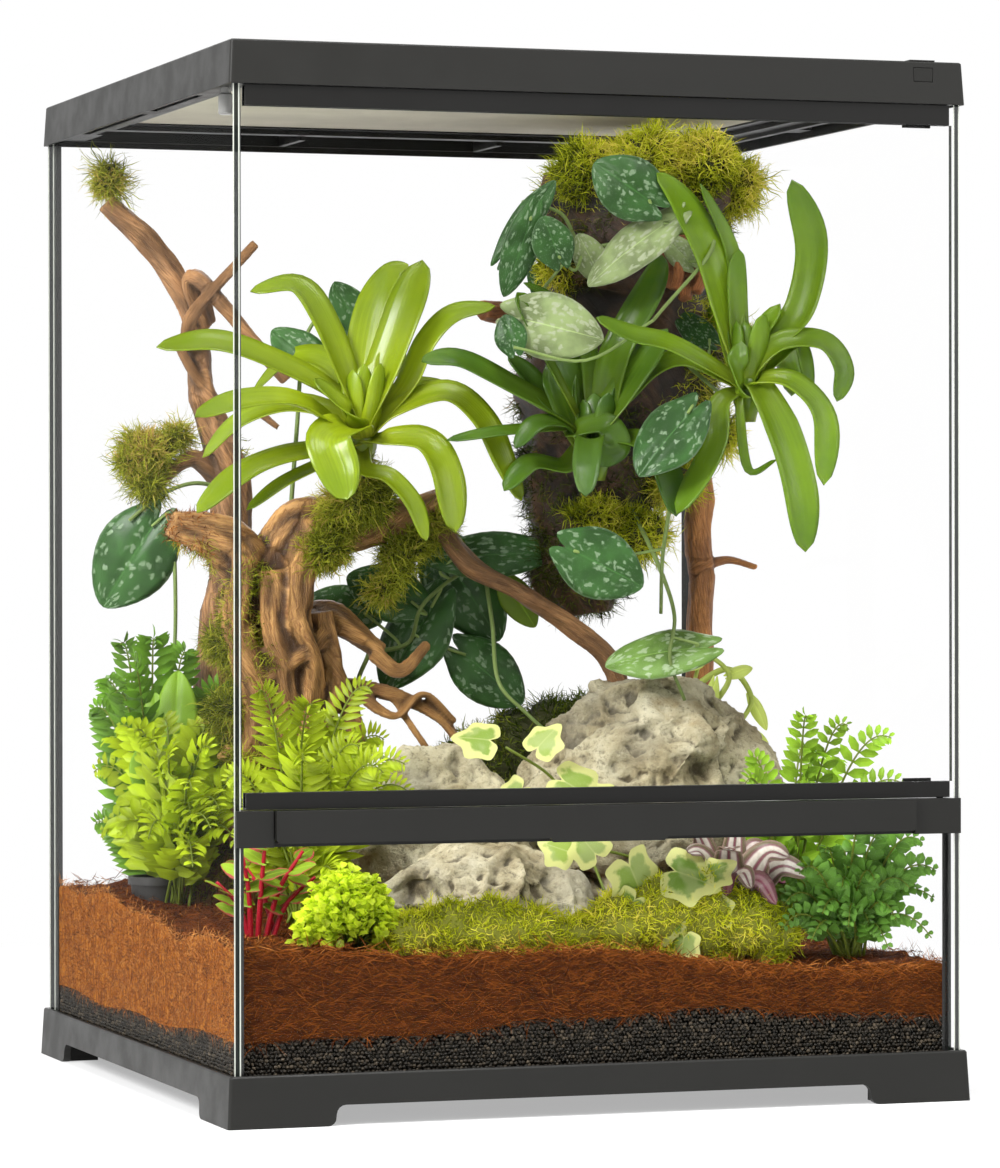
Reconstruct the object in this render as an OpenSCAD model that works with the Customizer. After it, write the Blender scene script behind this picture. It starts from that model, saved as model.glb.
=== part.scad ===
// Planted glass terrarium with one swinging front door. Millimetres, +Z up, the door faces -Y.
// The origin is the middle of the footprint, on the surface that the feet stand on.

/* [Glass box] */
// Outside width of the glass box
glass_w = 450; // [440:2:500]
// Outside depth of the glass box
glass_d = 450; // [440:2:500]
// Height from the feet to the top of the upper frame
total_h = 620; // [606:2:700]
// Thickness of every glass pane
pane_t = 4; // [3.4:0.2:4.4]
// Leg of the triangular sealing bead in each corner
bead_leg = 4; // [2:0.5:5]

/* [Base frame] */
// Height of the base frame
base_h = 30; // [26:1:36]
// How far the base skirt stands outside the glass at its top
base_lip = 3.5; // [3:0.25:6]
// How much further it stands out at the feet
base_flare = 1.5; // [0.5:0.25:3]
// Underside of the shelf that carries the glass
shelf_z = 14; // [13:0.5:16]
// Thickness of that shelf
shelf_t = 3; // [2:0.5:4]
// Width of that shelf
shelf_w = 30; // [22:1:45]
// Height of the arch between two feet
arch_h = 12; // [8:0.5:12.5]
// Length of a foot along one side, at the floor
foot_len = 59; // [45:1:80]
// Sideways run of the S curve between foot and arch
arch_run = 11; // [8:0.5:11.5]
// Width of the hollow foot
foot_w = 20; // [14:1:26]
// Wall of the foot and of the floor ribs
foot_wall = 2.5; // [2:0.25:3.5]

/* [Upper frame] */
// Height of the upper frame
top_h = 25.3; // [24.5:0.1:30]
// How far the upper skirt stands outside the glass at its top
top_lip = 1.3; // [1.1:0.1:3]
// How much further it stands out at its lower edge
top_flare = 1.4; // [0.4:0.1:3]
// Thickness of the flat top of the upper frame
deck_t = 3; // [2.4:0.2:4]
// Width of the flat top along the sides
side_rim = 19; // [18.5:0.5:24]
// Width of the flat top along the front
front_rim = 12.5; // [12.5:0.5:16]
// Width of the deck behind the screen
rear_deck = 59.5; // [54:0.5:70]
// Width of the ledge that carries the screen
ledge_w = 9; // [6:0.5:12]
// Thickness of that ledge
ledge_t = 3; // [2:0.25:3.5]
// Radius of the outer corners, seen from above
corner_r = 2; // [1.5:0.25:2]

/* [Screen] */
// Width of the plastic border of the screen
border_w = 24; // [16:1:34]
// Height of the screen frame
screen_h = 8.5; // [7:0.5:9]
// Gap round the screen
screen_gap = 0.7; // [0.4:0.1:1.2]
// Thickness of the metal mesh
mesh_t = 0.6; // [0.4:0.1:1]
// Spacing of the openings that stand for the mesh
mesh_pitch = 30; // [28:1:36]

/* [Screen lock] */
// Width of the lock button
button_w = 12; // [9:0.5:14]
// Height of the lock button
button_h = 8; // [7:0.25:8.5]
// Distance of the button from the right-hand outside of the glass
button_in = 24; // [22:0.5:40]
// Running gap round sliding pieces
slide_gap = 0.3; // [0.2:0.05:0.5]
// How far the lock slides inwards
lock_travel = 6; // [3:0.5:6]

/* [Cable inlets] */
// Length of an inlet slot
inlet_l = 48; // [30:1:56]
// Width of an inlet slot
inlet_w = 16; // [10:0.5:20]
// Distance of the slot's middle from the centre line
inlet_x = 165; // [150:1:166]
// How far the cover overlaps the slot on each side
inlet_lap = 3; // [2:0.25:4]
// Thickness of the cover
inlet_t = 1.4; // [1:0.1:1.6]

/* [Front rail] */
// Height of the rail's top above the floor
rail_top = 180.9; // [160:1:220]
// Height of the rail
rail_h = 21; // [21:0.5:26]
// How far the rail stands in front of the glass box
rail_out = 3; // [2.5:0.25:5]
// Depth of the rail behind the front edge of the glass
rail_in = 15; // [13:0.5:20]
// Length of one ventilation slot
vent_l = 12; // [8:0.5:13]
// Width of one ventilation slot
vent_w = 3.5; // [2:0.25:4]
// Distance from one ventilation slot to the next
vent_pitch = 18; // [16:0.5:24]

/* [Latch bar] */
// Left end of the latch bar, from the centre line
bar_left = 201.4; // [180:1:204]
// Right end of the latch bar, from the centre line
bar_right = 194.2; // [180:1:204]
// How far the bar stands in front of the rail
bar_out = 3.7; // [2:0.1:5]
// Height of the bar
bar_h = 18.8; // [17.5:0.1:19]
// Width of the finger grip in the middle of the bar
grip_w = 68; // [40:1:100]
// How far the finger grip reaches below the bar
grip_drop = 2.2; // [1:0.1:2.6]
// Radius of the bar's pivot pins
bar_pin_r = 1.25; // [1:0.05:1.3]

/* [Door] */
// Gap between the door and what it closes against
door_gap = 0.6; // [0.3:0.1:1]
// Thickness of the door rails
door_rail_t = 7; // [6.8:0.1:7.4]
// Height of the upper door rail
door_top_h = 12; // [11.5:0.1:14]
// Height of the lower door rail
door_low_h = 9.5; // [9.5:0.1:12]
// Distance of the hinge axis from the right-hand outside of the glass
hinge_in = 12; // [11.5:0.25:13]
// Radius of the hinge pins
pin_r = 2; // [1.6:0.1:2.1]
// Running clearance of pins in their bores
pin_gap = 0.05; // [0.03:0.01:0.1]
// How far a hinge pin reaches into its socket
pin_reach = 4.2; // [3:0.1:4.4]
// Width of the ribbed thumb tab of a hinge pin
tab_w = 17.5; // [12:0.5:20]

/* [Planting] */
// Depth of the bead drainage layer
drain_h = 29; // [20:1:40]
// Depth of the coir bed over it, at the middle
coir_h = 46; // [40:1:60]
// Gap between the planting and the glass
soil_gap = 0.4; // [0.2:0.1:1]
// Length of the longest leaves of the left-hand rosette
left_leaf = 152; // [110:2:156]
// Length of the longest leaves of the middle rosette
middle_leaf = 112; // [90:2:120]
// Length of the longest leaves of the right-hand rosette
right_leaf = 124; // [90:2:128]
// Width of a rosette leaf
strap_w = 25; // [16:1:30]
// Length of a spotted vine leaf
vine_leaf = 50; // [36:1:56]
// Length of a fern frond
frond_len = 88; // [60:2:94]

/* [Hidden] */

eps = 0.02;
plastic = "#34332f";
plastic_dark = "#262522";
glass_tint = [0.86, 0.93, 0.9, 0.25];

// Glass box
half_w = glass_w / 2;
half_d = glass_d / 2;
in_x = half_w - pane_t;
in_y = half_d - pane_t;
seat_gap = 0.3;
shelf_top = shelf_z + shelf_t;
floor_z = shelf_top + pane_t;
top_z = total_h - top_h;
pane_top = total_h - deck_t - 6;

// Front: the door stands flush with the side panes, the lower window a little behind it
front_y = -half_d;
door_y = front_y + 0.5;
window_y = front_y + 4;
rail_low = rail_top - rail_h;
recess_y = front_y + 2.8;
socket_y = door_y + pane_t / 2;

// Latch bar
bar_y = front_y - rail_out - bar_out;
bar_back = front_y + 0.6;
bar_top = rail_top - 0.1;
bar_low = bar_top - bar_h;
bar_axis_y = front_y - 1;
bar_axis_z = bar_low + 2.5;
bar_pin_l = 4;

// Door
door_x = in_x - 0.8;
door_low = rail_top + door_gap;
door_top = top_z - 0.3;
door_rail_x = door_x - 2.2;
door_rail_y = socket_y - door_rail_t / 2;
door_rail_back = socket_y + door_rail_t / 2;
hinge_x = half_w - hinge_in;
notch_x = hinge_x - 10;
rail_wall = 1;
arm_t = 2.5;
tab_x = hinge_x - 21.5;
tab_y = door_rail_back + slide_gap;
tab_t = 2.2;

// Upper frame and screen
well_x = half_w + top_lip - side_rim - 1.3;
well_front = -(half_d + top_lip) + front_rim + 1.3;
well_rear = half_d + top_lip - rear_deck - 1.3;
ledge_top = total_h - 16.5;
ledge_low = ledge_top - ledge_t;
screen_x = well_x - screen_gap;
screen_front = well_front + screen_gap;
screen_rear = well_rear - screen_gap;
screen_top = ledge_top + screen_h;
mesh_z = ledge_top + 1;
mesh_x = screen_x - border_w;
mesh_front = screen_front + border_w;
mesh_rear = screen_rear - border_w;
mesh_lap = 6;
side_low = top_z + 3.3;

// Screen lock
lock_x = half_w - button_in;
lock_z = total_h - 8;
lock_front = front_y - top_lip - 0.4;
lock_back = well_front - 0.6;
tongue_low = screen_top + 0.5;
tongue_top = lock_z + button_h / 2;
tongue_half = min(button_w / 2, well_x - lock_x - 2 * slide_gap);
cap_z = total_h + 0.2;
cap_t = 0.8;

// Inlets
inlet_y = (well_rear + half_d) / 2 + 2;
cover_l = inlet_l + 2 * inlet_lap;
cover_w = inlet_w + 2 * inlet_lap;
cover_travel = inlet_l + 2;
cover_z = total_h - inlet_t - 0.2;

// Planting: drawn for a glass box of this half width, half depth and height, and stretched with the real one
drawn_box = [221, 221, 573.7];
plan_x = in_x / drawn_box[0];
plan_y = in_y / drawn_box[1];
plan_z = (top_z - floor_z) / drawn_box[2];
soil_x = in_x - soil_gap;
soil_front = window_y + pane_t + soil_gap;
soil_rear = in_y - soil_gap;
grid = 10;

// ---------------------------------------------------------------- shared shapes

// A flat block between two corners
module block(low, high) {
    translate(low) cube(high - low);
}

// A closed body with rounded upright corners through [height, half width, half depth] levels
module rounded_levels(levels, r) {
    hull() for (level = levels, sx = [-1, 1], sy = [-1, 1])
        translate([sx * (level[1] - r), sy * (level[2] - r), level[0]])
            cylinder(h = eps, r = r, $fn = 24);
}

function unit(v) = v / norm(v);

function heading(path, i) = unit(path[min(i + 1, len(path) - 1)] - path[max(i - 1, 0)]);

// One point of a smooth curve through hand-placed points, s from 0 to 1 between points i and i + 1
function between(pts, i, s) =
    let (a = pts[max(i - 1, 0)], b = pts[i], c = pts[i + 1], d = pts[min(i + 2, len(pts) - 1)])
    0.5 * (2 * b + (c - a) * s + (2 * a - 5 * b + 4 * c - d) * s * s + (3 * b - a - 3 * c + d) * s * s * s);

// The smooth curve, with a number of steps between each two points
function curve(pts, steps) =
    [for (i = [0:len(pts) - 2], k = [0:steps - 1]) between(pts, i, k / steps), pts[len(pts) - 1]];

// Directions square to a path, carried along it without twisting
function carried(path, side) =
    [for (i = 0, n = side - (side * heading(path, 0)) * heading(path, 0); i < len(path); i = i + 1,
        n = i < len(path) ? n - (n * heading(path, i)) * heading(path, i) : n) unit(n)];

// A closed body along a path, with an oval section of radii a (along side) and b at each point
module sweep(path, side, a, b, sides) {
    n = carried(path, side);
    rings = [for (i = [0:len(path) - 1], k = [0:sides - 1])
        path[i] + a[i] * cos(360 * k / sides) * n[i] + b[i] * sin(360 * k / sides) * cross(heading(path, i), n[i])];
    last = (len(path) - 1) * sides;
    wall = [for (i = [0:len(path) - 2], k = [0:sides - 1])
        let (p = i * sides + k, q = i * sides + (k + 1) % sides) each [[p, p + sides, q + sides], [p, q + sides, q]]];
    caps = [for (k = [1:sides - 2]) each [[0, k, k + 1], [last, last + k + 1, last + k]]];
    polyhedron(points = rings, faces = concat(wall, caps), convexity = 4);
}

// A round, slightly uneven limb through [x, y, z, radius] points
module limb(pts, steps = 2, sides = 7, wobble = 0.1) {
    smooth = curve(pts, steps);
    path = [for (p = smooth) [p[0], p[1], p[2]]];
    radii = [for (i = [0:len(smooth) - 1]) smooth[i][3] * (1 + wobble * sin(i * 137 + smooth[i][0] * 9))];
    sweep(path, [0.31, 0.8, 0.51], radii, [for (r = radii) r * 0.86], sides);
}

// A knot or burl on a limb
module knot(at, r, dir) {
    hull() {
        translate(at) rotate(r * 40) sphere(r, $fn = 5);
        translate(at + dir) sphere(r * 0.5, $fn = 4);
    }
}

// A craggy stone: rings of uneven radius between a flat foot and a blunt top
module stone(size, rings, sides, seed, lean = [0, 0]) {
    function swell(t) = pow(sin(18 + 150 * t), 0.7);
    function rough(i, k) = 1 + 0.13 * sin(seed + i * 97 + k * 151) + 0.09 * sin(seed * 3 + i * 41 - k * 83);
    points = [for (i = [0:rings], k = [0:sides - 1])
        let (t = i / rings, a = 360 * k / sides + 9 * i, r = swell(t) * rough(i, k))
            [size[0] / 2 * r * cos(a) + lean[0] * t, size[1] / 2 * r * sin(a) + lean[1] * t,
                size[2] * (t + 0.05 * sin(seed + 59 * k) * sin(180 * t))]];
    last = rings * sides;
    wall = [for (i = [0:rings - 1], k = [0:sides - 1])
        let (p = i * sides + k, q = i * sides + (k + 1) % sides) each [[p, p + sides, q + sides], [p, q + sides, q]]];
    caps = [for (k = [1:sides - 2]) each [[0, k, k + 1], [last, last + k + 1, last + k]]];
    polyhedron(points = points, faces = concat(wall, caps), convexity = 4);
}

// A heap of round tufts at [x, y, z, radius] points
module tufts(pts, squash = 0.8) {
    for (p = pts) hull() {
        translate([p[0], p[1], p[2]]) scale([1, 1, squash]) rotate(p[2] * 7) sphere(p[3], $fn = 6);
        translate([p[0], p[1], p[2]] + p[3] * [0.3, -0.3, 0.45]) sphere(p[3] * 0.4, $fn = 4);
    }
}

// A thin stem through [x, y, z, radius] points
module stem(pts, steps = 2) {
    smooth = curve(pts, steps);
    for (i = [0:len(smooth) - 2]) hull() for (p = [smooth[i], smooth[i + 1]])
        translate([p[0], p[1], p[2]]) sphere(p[3], $fn = 4);
}

// A strap leaf that rises and arches over: it starts out at the angle rise and turns down by bend
module strap_leaf(len, w, turn, rise, bend, steps = 4) {
    step = len / steps;
    path = [for (i = 0, p = [0, 0, 0]; i <= steps; p = p + step * [cos(rise - bend * pow(i / steps, 1.3)), 0,
        sin(rise - bend * pow(i / steps, 1.3))], i = i + 1) p];
    a = [for (i = [0:steps]) let (t = i / steps) w / 2 * (t < 0.62 ? 0.62 + 0.6 * t : max(0.06, (1 - t) / 0.38))];
    b = [for (i = [0:steps]) 1.4 - 0.9 * i / steps];
    rotate(turn) sweep(path, [0, 1, 0], a, b, 4);
}

// A heart-shaped leaf with a shallow dome, from its stalk at the origin along +X
module heart_leaf(len) {
    edge = [for (k = [0:9]) let (a = 36 * k + 18, r = 0.5 + 0.1 * cos(a) - 0.05 * cos(3 * a))
        [len * (0.46 - r * cos(a) * 0.98), len * 0.86 * r * sin(a), len * 0.02 * sin(4 * a)]];
    polyhedron(points = concat(edge, [[len * 0.45, 0, 1.6], [len * 0.45, 0, -0.4]]),
        faces = [for (k = [0:9]) each [[k, (k + 1) % 10, 10], [k, 11, (k + 1) % 10]]]);
}

// A vine leaf set on its place: it points along turn and tilts by pitch about its stalk, and rolls about itself
module set_leaf(at, turn, pitch, roll, len) {
    translate(at) rotate([0, -pitch, turn]) rotate([roll, 0, 0]) heart_leaf(len);
}

// A toothed fern frond that arches over; spread shortens its reach along X and Y
module frond(len, w, spread, turn, rise, bend, teeth = 3) {
    steps = 2 * teeth;
    step = len / steps;
    out = [spread[0] * cos(turn), spread[1] * sin(turn), 0];
    path = [for (i = 0, p = [0, 0, 0]; i <= steps; p = p + step * (cos(rise - bend * i / steps) * out
        + [0, 0, sin(rise - bend * i / steps)]), i = i + 1) p];
    a = [for (i = [0:steps]) let (t = i / steps)
        i < 2 ? 1.2 : w / 2 * (i % 2 == 1 ? 0.45 : 1) * (0.2 + 0.95 * sin(180 * pow(1.02 - t, 0.8)))];
    b = [for (i = [0:steps]) 1.1 - 0.5 * i / steps];
    sweep(path, cross([0, 0, 1], out), a, b, 4);
}

// ---------------------------------------------------------------- glass box and frames

// The outline of the opening between two feet, with S-shaped ends
module arch_outline(foot_edge) {
    r = (arch_run * arch_run + arch_h * arch_h) / (4 * arch_h);
    turn = asin(min(0.999, arch_run / (2 * r)));
    s_curve = [for (k = [0:4]) [foot_edge - arch_run + r * sin(turn * k / 4), arch_h - r + r * cos(turn * k / 4)],
        for (k = [3:-1:0]) [foot_edge - r * sin(turn * k / 4), r - r * cos(turn * k / 4)]];
    half = concat(s_curve, [[foot_edge, -5]]);
    polygon(concat(half, [for (k = [len(half) - 1:-1:0]) [-half[k][0], half[k][1]]]));
}

// One hollow foot's inner walls, in the corner towards +X +Y
module foot_walls() {
    x1 = half_w + seat_gap + eps;
    y1 = half_d + seat_gap + eps;
    x0 = half_w + base_lip + base_flare - foot_len + foot_wall;
    y0 = half_d + base_lip + base_flare - foot_len + foot_wall;
    linear_extrude(shelf_z + eps) difference() {
        union() {
            translate([x0, y1 - foot_w]) square([x1 - x0, foot_w]);
            translate([x1 - foot_w, y0]) square([foot_w, y1 - y0]);
        }
        translate([x0 + foot_wall, y1 - foot_w + foot_wall]) square([x1 - x0, foot_w]);
        translate([x1 - foot_w + foot_wall, y0 + foot_wall]) square([foot_w, y1 - y0]);
    }
}

module base_frame() {
    top_x = half_w + base_lip;
    top_y = half_d + base_lip;
    bar = 24;
    color(plastic) {
        difference() {
            rounded_levels([[0, top_x + base_flare, top_y + base_flare], [base_h - 1 - eps, top_x, top_y],
                [base_h - eps, top_x - 0.8, top_y - 0.8]], corner_r);
            block([-half_w - seat_gap, -half_d - seat_gap, shelf_top],
                [half_w + seat_gap, half_d + seat_gap, base_h + 1]);
            block([-half_w - seat_gap, -half_d - seat_gap, -1], [half_w + seat_gap, half_d + seat_gap, shelf_z]);
            difference() {
                block([-half_w + shelf_w, -half_d + shelf_w, shelf_z - 1],
                    [half_w - shelf_w, half_d - shelf_w, shelf_top + 1]);
                block([-bar / 2, -half_d, shelf_z], [bar / 2, half_d, shelf_top]);
                block([-half_w, -bar / 2, shelf_z], [half_w, bar / 2, shelf_top]);
            }
            rotate([90, 0, 0]) linear_extrude(glass_d + 40, center = true)
                arch_outline(half_w + base_lip + base_flare - foot_len);
            rotate([90, 0, 90]) linear_extrude(glass_w + 40, center = true)
                arch_outline(half_d + base_lip + base_flare - foot_len);
        }
        for (sx = [-1, 1], sy = [-1, 1]) scale([sx, sy, 1]) foot_walls();
        // Ribs under the crossed bars
        for (s = [-1, 1]) {
            block([s * bar / 2 - (s + 1) * foot_wall / 2, -half_d + shelf_w - 4, shelf_z - 4],
                [s * bar / 2 + (1 - s) * foot_wall / 2, half_d - shelf_w + 4, shelf_z + eps]);
        }
    }
}

module floor_glass() {
    color(glass_tint) block([-in_x, window_y + pane_t, shelf_top], [in_x, in_y, floor_z]);
}

// A side pane; side is -1 for the left one and 1 for the right one
module side_glass(side) {
    color(glass_tint) translate([side * (half_w - pane_t / 2), 0, 0])
        block([-pane_t / 2, -half_d, shelf_top], [pane_t / 2, half_d, pane_top]);
}

module rear_glass() {
    color(glass_tint) block([-in_x, in_y, shelf_top], [in_x, half_d, pane_top]);
}

module front_glass() {
    color(glass_tint) block([-in_x, window_y, shelf_top], [in_x, window_y + pane_t, rail_low + 12.4]);
}

// A triangular bead that fills an inside corner at (x, y); sx and sy point into the tank
module bead(x, y, sx, sy, top) {
    translate([x, y, floor_z]) scale([sx, sy, 1]) linear_extrude(top - floor_z)
        polygon([[0, 0], [bead_leg, 0], [0, bead_leg]]);
}

module beads() {
    for (s = [-1, 1]) {
        bead(s * in_x, in_y, -s, -1, top_z);
        bead(s * in_x, window_y + pane_t, -s, 1, rail_low);
    }
}

module corner_beads() {
    color("#1b1b1a") beads();
}

module front_rail() {
    end_x = half_w - 0.6;
    body_x = in_x - seat_gap;
    back_y = front_y + rail_in;
    count = floor((body_x * 2 - 40) / vent_pitch);
    color(plastic) difference() {
        union() {
            block([-end_x, front_y - rail_out, rail_low], [end_x, front_y - seat_gap, rail_top]);
            block([-body_x, front_y - seat_gap - eps, rail_low], [body_x, window_y + pane_t + 1.6, rail_top]);
            // The inner part has a rounded lower edge
            translate([0, back_y - 5, rail_low + 12]) rotate([0, 90, 0])
                cylinder(h = 2 * body_x, r = 5, center = true, $fn = 48);
            block([-body_x, window_y + pane_t, rail_low + 7], [body_x, back_y - 5, rail_top]);
            block([-body_x, back_y - 6, rail_low + 12], [body_x, back_y, rail_top]);
        }
        // Recess for the latch bar, open above and below
        block([-bar_left - 0.6, front_y - rail_out - 1, rail_low - 1], [bar_right + 0.6, recess_y, rail_top + 1]);
        // Groove for the lower window
        block([-body_x - 1, window_y - 0.2, rail_low - 1], [body_x + 1, window_y + pane_t + 0.2, rail_low + 12.5]);
        // Ventilation slots
        for (k = [0:count - 1])
            translate([(k - (count - 1) / 2) * vent_pitch, back_y - 3.6, 0])
                block([-vent_l / 2, -vent_w / 2, rail_low + 4], [vent_l / 2, vent_w / 2, rail_top + 1]);
        // Bores for the latch bar's pins
        translate([0, bar_axis_y, bar_axis_z]) rotate([0, 90, 0]) {
            translate([0, 0, bar_right - 1]) cylinder(h = bar_pin_l + 2, r = bar_pin_r + pin_gap, $fn = 48);
            translate([0, 0, -bar_left - bar_pin_l - 1])
                cylinder(h = bar_pin_l + 2, r = bar_pin_r + pin_gap, $fn = 48);
        }
        // Socket for the lower hinge pin
        translate([hinge_x, socket_y, rail_top - pin_reach - 1])
            cylinder(h = pin_reach + 2, r = pin_r + pin_gap, $fn = 64);
    }
}

module top_frame() {
    top_x = half_w + top_lip;
    top_y = half_d + top_lip;
    inside_x = half_w + seat_gap;
    inside_y = half_d + seat_gap;
    slot = pane_t + 0.6;
    pocket_x = inside_x - slot - 9;
    color(plastic) difference() {
        rounded_levels([[top_z, top_x + top_flare, top_y + top_flare], [total_h - 0.8, top_x, top_y],
            [total_h - eps, top_x - 0.7, top_y - 0.7]], corner_r);
        // Well for the screen, and the clear opening below its ledge
        block([-well_x, well_front, ledge_top], [well_x, well_rear, total_h + 1]);
        block([-well_x + ledge_w, well_front + ledge_w, top_z - 1],
            [well_x - ledge_w, well_rear - ledge_w, ledge_top + 1]);
        // Space under the ledge and the side members
        block([-inside_x, well_front, top_z - 1], [inside_x, inside_y, side_low]);
        block([-well_x - 1, well_front, side_low - 1], [well_x + 1, well_rear + 2.5, ledge_low]);
        // Slots that hold the side and rear panes
        for (s = [-1, 1]) translate([s * (inside_x - slot / 2), 0, 0])
            block([-slot / 2, -inside_y, top_z - 1], [slot / 2, inside_y, pane_top + 0.4]);
        block([-inside_x, inside_y - slot, top_z - 1], [inside_x, inside_y, pane_top + 0.4]);
        // Pockets in the side members, with ribs between them
        for (s = [-1, 1]) translate([s * (pocket_x + 4.5), 0, 0]) {
            block([-4.5, -113, top_z - 1], [4.5, -5, total_h - deck_t - 1]);
            block([-4.5, 16, top_z - 1], [4.5, well_rear, total_h - deck_t - 1]);
        }
        // Hollow of the front member, closed by its bottom plate
        block([-in_x + 24, -inside_y + 2, top_z + 2.5], [in_x - 44, well_front - 2, total_h - deck_t]);
        // Hollow under the rear deck, in three bays
        for (k = [-1:1]) translate([k * 136, 0, 0])
            block([-66, well_rear + 2.5, top_z - 1], [66, inside_y - slot - 3, total_h - deck_t]);
        // Inlet slots, with the recess that their covers slide in
        for (s = [-1, 1]) {
            translate([s * inlet_x, inlet_y, 0])
                block([-inlet_l / 2, -inlet_w / 2, total_h - deck_t - 1], [inlet_l / 2, inlet_w / 2, total_h + 1]);
            translate([s * (inlet_x - cover_travel / 2), inlet_y, 0])
                block([-(cover_l + cover_travel) / 2 - slide_gap, -cover_w / 2 - slide_gap, cover_z],
                    [(cover_l + cover_travel) / 2 + slide_gap, cover_w / 2 + slide_gap, total_h + 1]);
        }
        // Window, channel and tongue slot for the screen lock
        block([lock_x - button_w / 2 - slide_gap, -top_y - 5, lock_z - button_h / 2 - slide_gap],
            [lock_x + button_w / 2 + slide_gap, well_front - 2, lock_z + button_h / 2 + slide_gap]);
        block([lock_x - button_w / 2 - slide_gap, well_front - 3, tongue_low - slide_gap],
            [lock_x + button_w / 2 + slide_gap, well_front + 1, tongue_top + slide_gap]);
        block([lock_x - 3 - slide_gap, lock_front + 3 - slide_gap, total_h - deck_t - 2],
            [lock_x + 3 + slide_gap, lock_front + 6 + lock_travel + slide_gap, total_h + 1]);
        // Socket for the upper hinge pin
        translate([hinge_x, socket_y, top_z - 1]) cylinder(h = pin_reach + 2, r = pin_r + pin_gap, $fn = 64);
    }
}

module hanger_stud() {
    color("#8d8f8c") translate([-half_w + 12.5, -half_d + 60, 0]) rotate_extrude($fn = 64)
        polygon([[0, top_z - 12.5], [3.4, top_z - 12.5], [4.25, top_z - 11.6], [4.25, top_z - 1], [3.2, top_z],
            [3.2, side_low], [0, side_low]]);
}

// ---------------------------------------------------------------- door

module door_glass() {
    color(glass_tint) difference() {
        block([-door_x, door_y, door_low + rail_wall + 0.2], [door_x, door_y + pane_t, door_top - rail_wall - 0.2]);
        // The corners at the hinge leave room for the pins
        for (z = [[door_low - 1, door_low + door_low_h], [door_top - door_top_h, door_top + 1]])
            block([notch_x, door_y - 1, z[0]], [door_x + 1, door_y + pane_t + 1, z[1]]);
    }
}

// A clip-on rail of the door between heights low and high; lip is 1 where its pane comes from above
module door_rail(low, high, lip) {
    difference() {
        block([-door_rail_x, door_rail_y, low], [door_rail_x, door_rail_back, high]);
        block([-door_rail_x - 1, door_y - 0.1, lip > 0 ? low + rail_wall : low - 1],
            [notch_x, door_y + pane_t + 0.1, lip > 0 ? high + 1 : high - rail_wall]);
        // Chamber for the hinge pin, open to the back
        block([tab_x + tab_w - 5 - slide_gap, door_rail_y + rail_wall, low + rail_wall],
            [hinge_x + pin_r + 1.2, door_rail_back + 1, high - rail_wall]);
        translate([hinge_x, socket_y, low - 1]) cylinder(h = high - low + 2, r = pin_r + pin_gap, $fn = 64);
    }
}

module door_top_rail() {
    color(plastic_dark) door_rail(door_top - door_top_h, door_top, -1);
}

module door_low_rail() {
    color(plastic_dark) door_rail(door_low, door_low + door_low_h, 1);
}

// A sliding hinge pin with its ribbed thumb tab. It points up; length is from the underside of its arm
module hinge_pin(length, tab_low, tab_high) {
    color(plastic_dark) {
        translate([hinge_x, socket_y, 0]) cylinder(h = length, r = pin_r, $fn = 64);
        block([tab_x + tab_w - 5, socket_y - 1.4, 0], [hinge_x, door_rail_back + slide_gap + eps, arm_t]);
        difference() {
            block([tab_x, tab_y, tab_low], [tab_x + tab_w, tab_y + tab_t, tab_high]);
            for (x = [tab_x + 1.6 : 2.4 : tab_x + tab_w - 1.8])
                block([x, tab_y + tab_t - 0.6, tab_low + 0.8], [x + 1.1, tab_y + tab_t + 1, tab_high - 0.8]);
        }
    }
}

// The pins' arms rest against the inside of the rail, and slide away from it
pin_top_z = door_top - rail_wall - slide_gap - arm_t;
pin_low_z = door_low + rail_wall + slide_gap + arm_t;

module hinge_pin_top() {
    translate([0, 0, pin_top_z])
        hinge_pin(top_z + pin_reach - pin_top_z, door_top - door_top_h - 1.3 - pin_top_z, arm_t);
}

module hinge_pin_low() {
    translate([0, 0, pin_low_z]) scale([1, 1, -1])
        hinge_pin(pin_low_z - rail_top + pin_reach, pin_low_z - door_low - door_low_h - 1.8, arm_t);
}

// ---------------------------------------------------------------- latch bar

module latch_bar() {
    color(plastic) {
        difference() {
            union() {
                // The lower corners of the bar's face are rounded
                rotate([90, 0, 0]) translate([0, 0, -bar_back]) linear_extrude(bar_back - bar_y) {
                    translate([-bar_left, bar_low + 3]) square([bar_left + bar_right, bar_h - 3]);
                    translate([-bar_left + 3, bar_low]) square([bar_left + bar_right - 6, 4]);
                    translate([-bar_left + 3, bar_low + 3]) circle(3, $fn = 48);
                    translate([bar_right - 3, bar_low + 3]) circle(3, $fn = 48);
                }
                // Finger grip in the middle, with sloped ends
                rotate([90, 0, 0]) translate([0, 0, -front_y + rail_out + 0.3]) linear_extrude(bar_out - 0.3)
                    polygon([[-grip_w / 2, bar_low - grip_drop], [grip_w / 2, bar_low - grip_drop],
                        [grip_w / 2 + 3, bar_low + 0.5], [-grip_w / 2 - 3, bar_low + 0.5]]);
            }
            // Shallow hollow behind the bar
            block([-bar_left + 8, bar_back - 2.4, bar_low + 8], [bar_right - 8, bar_back + 1, bar_top - 2.5]);
        }
        translate([0, bar_axis_y, bar_axis_z]) rotate([0, 90, 0]) {
            translate([0, 0, bar_right - 6]) cylinder(h = bar_pin_l + 6, r = bar_pin_r, $fn = 48);
            translate([0, 0, -bar_left - bar_pin_l]) cylinder(h = bar_pin_l + 6, r = bar_pin_r, $fn = 48);
        }
    }
}

// ---------------------------------------------------------------- screen top

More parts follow.
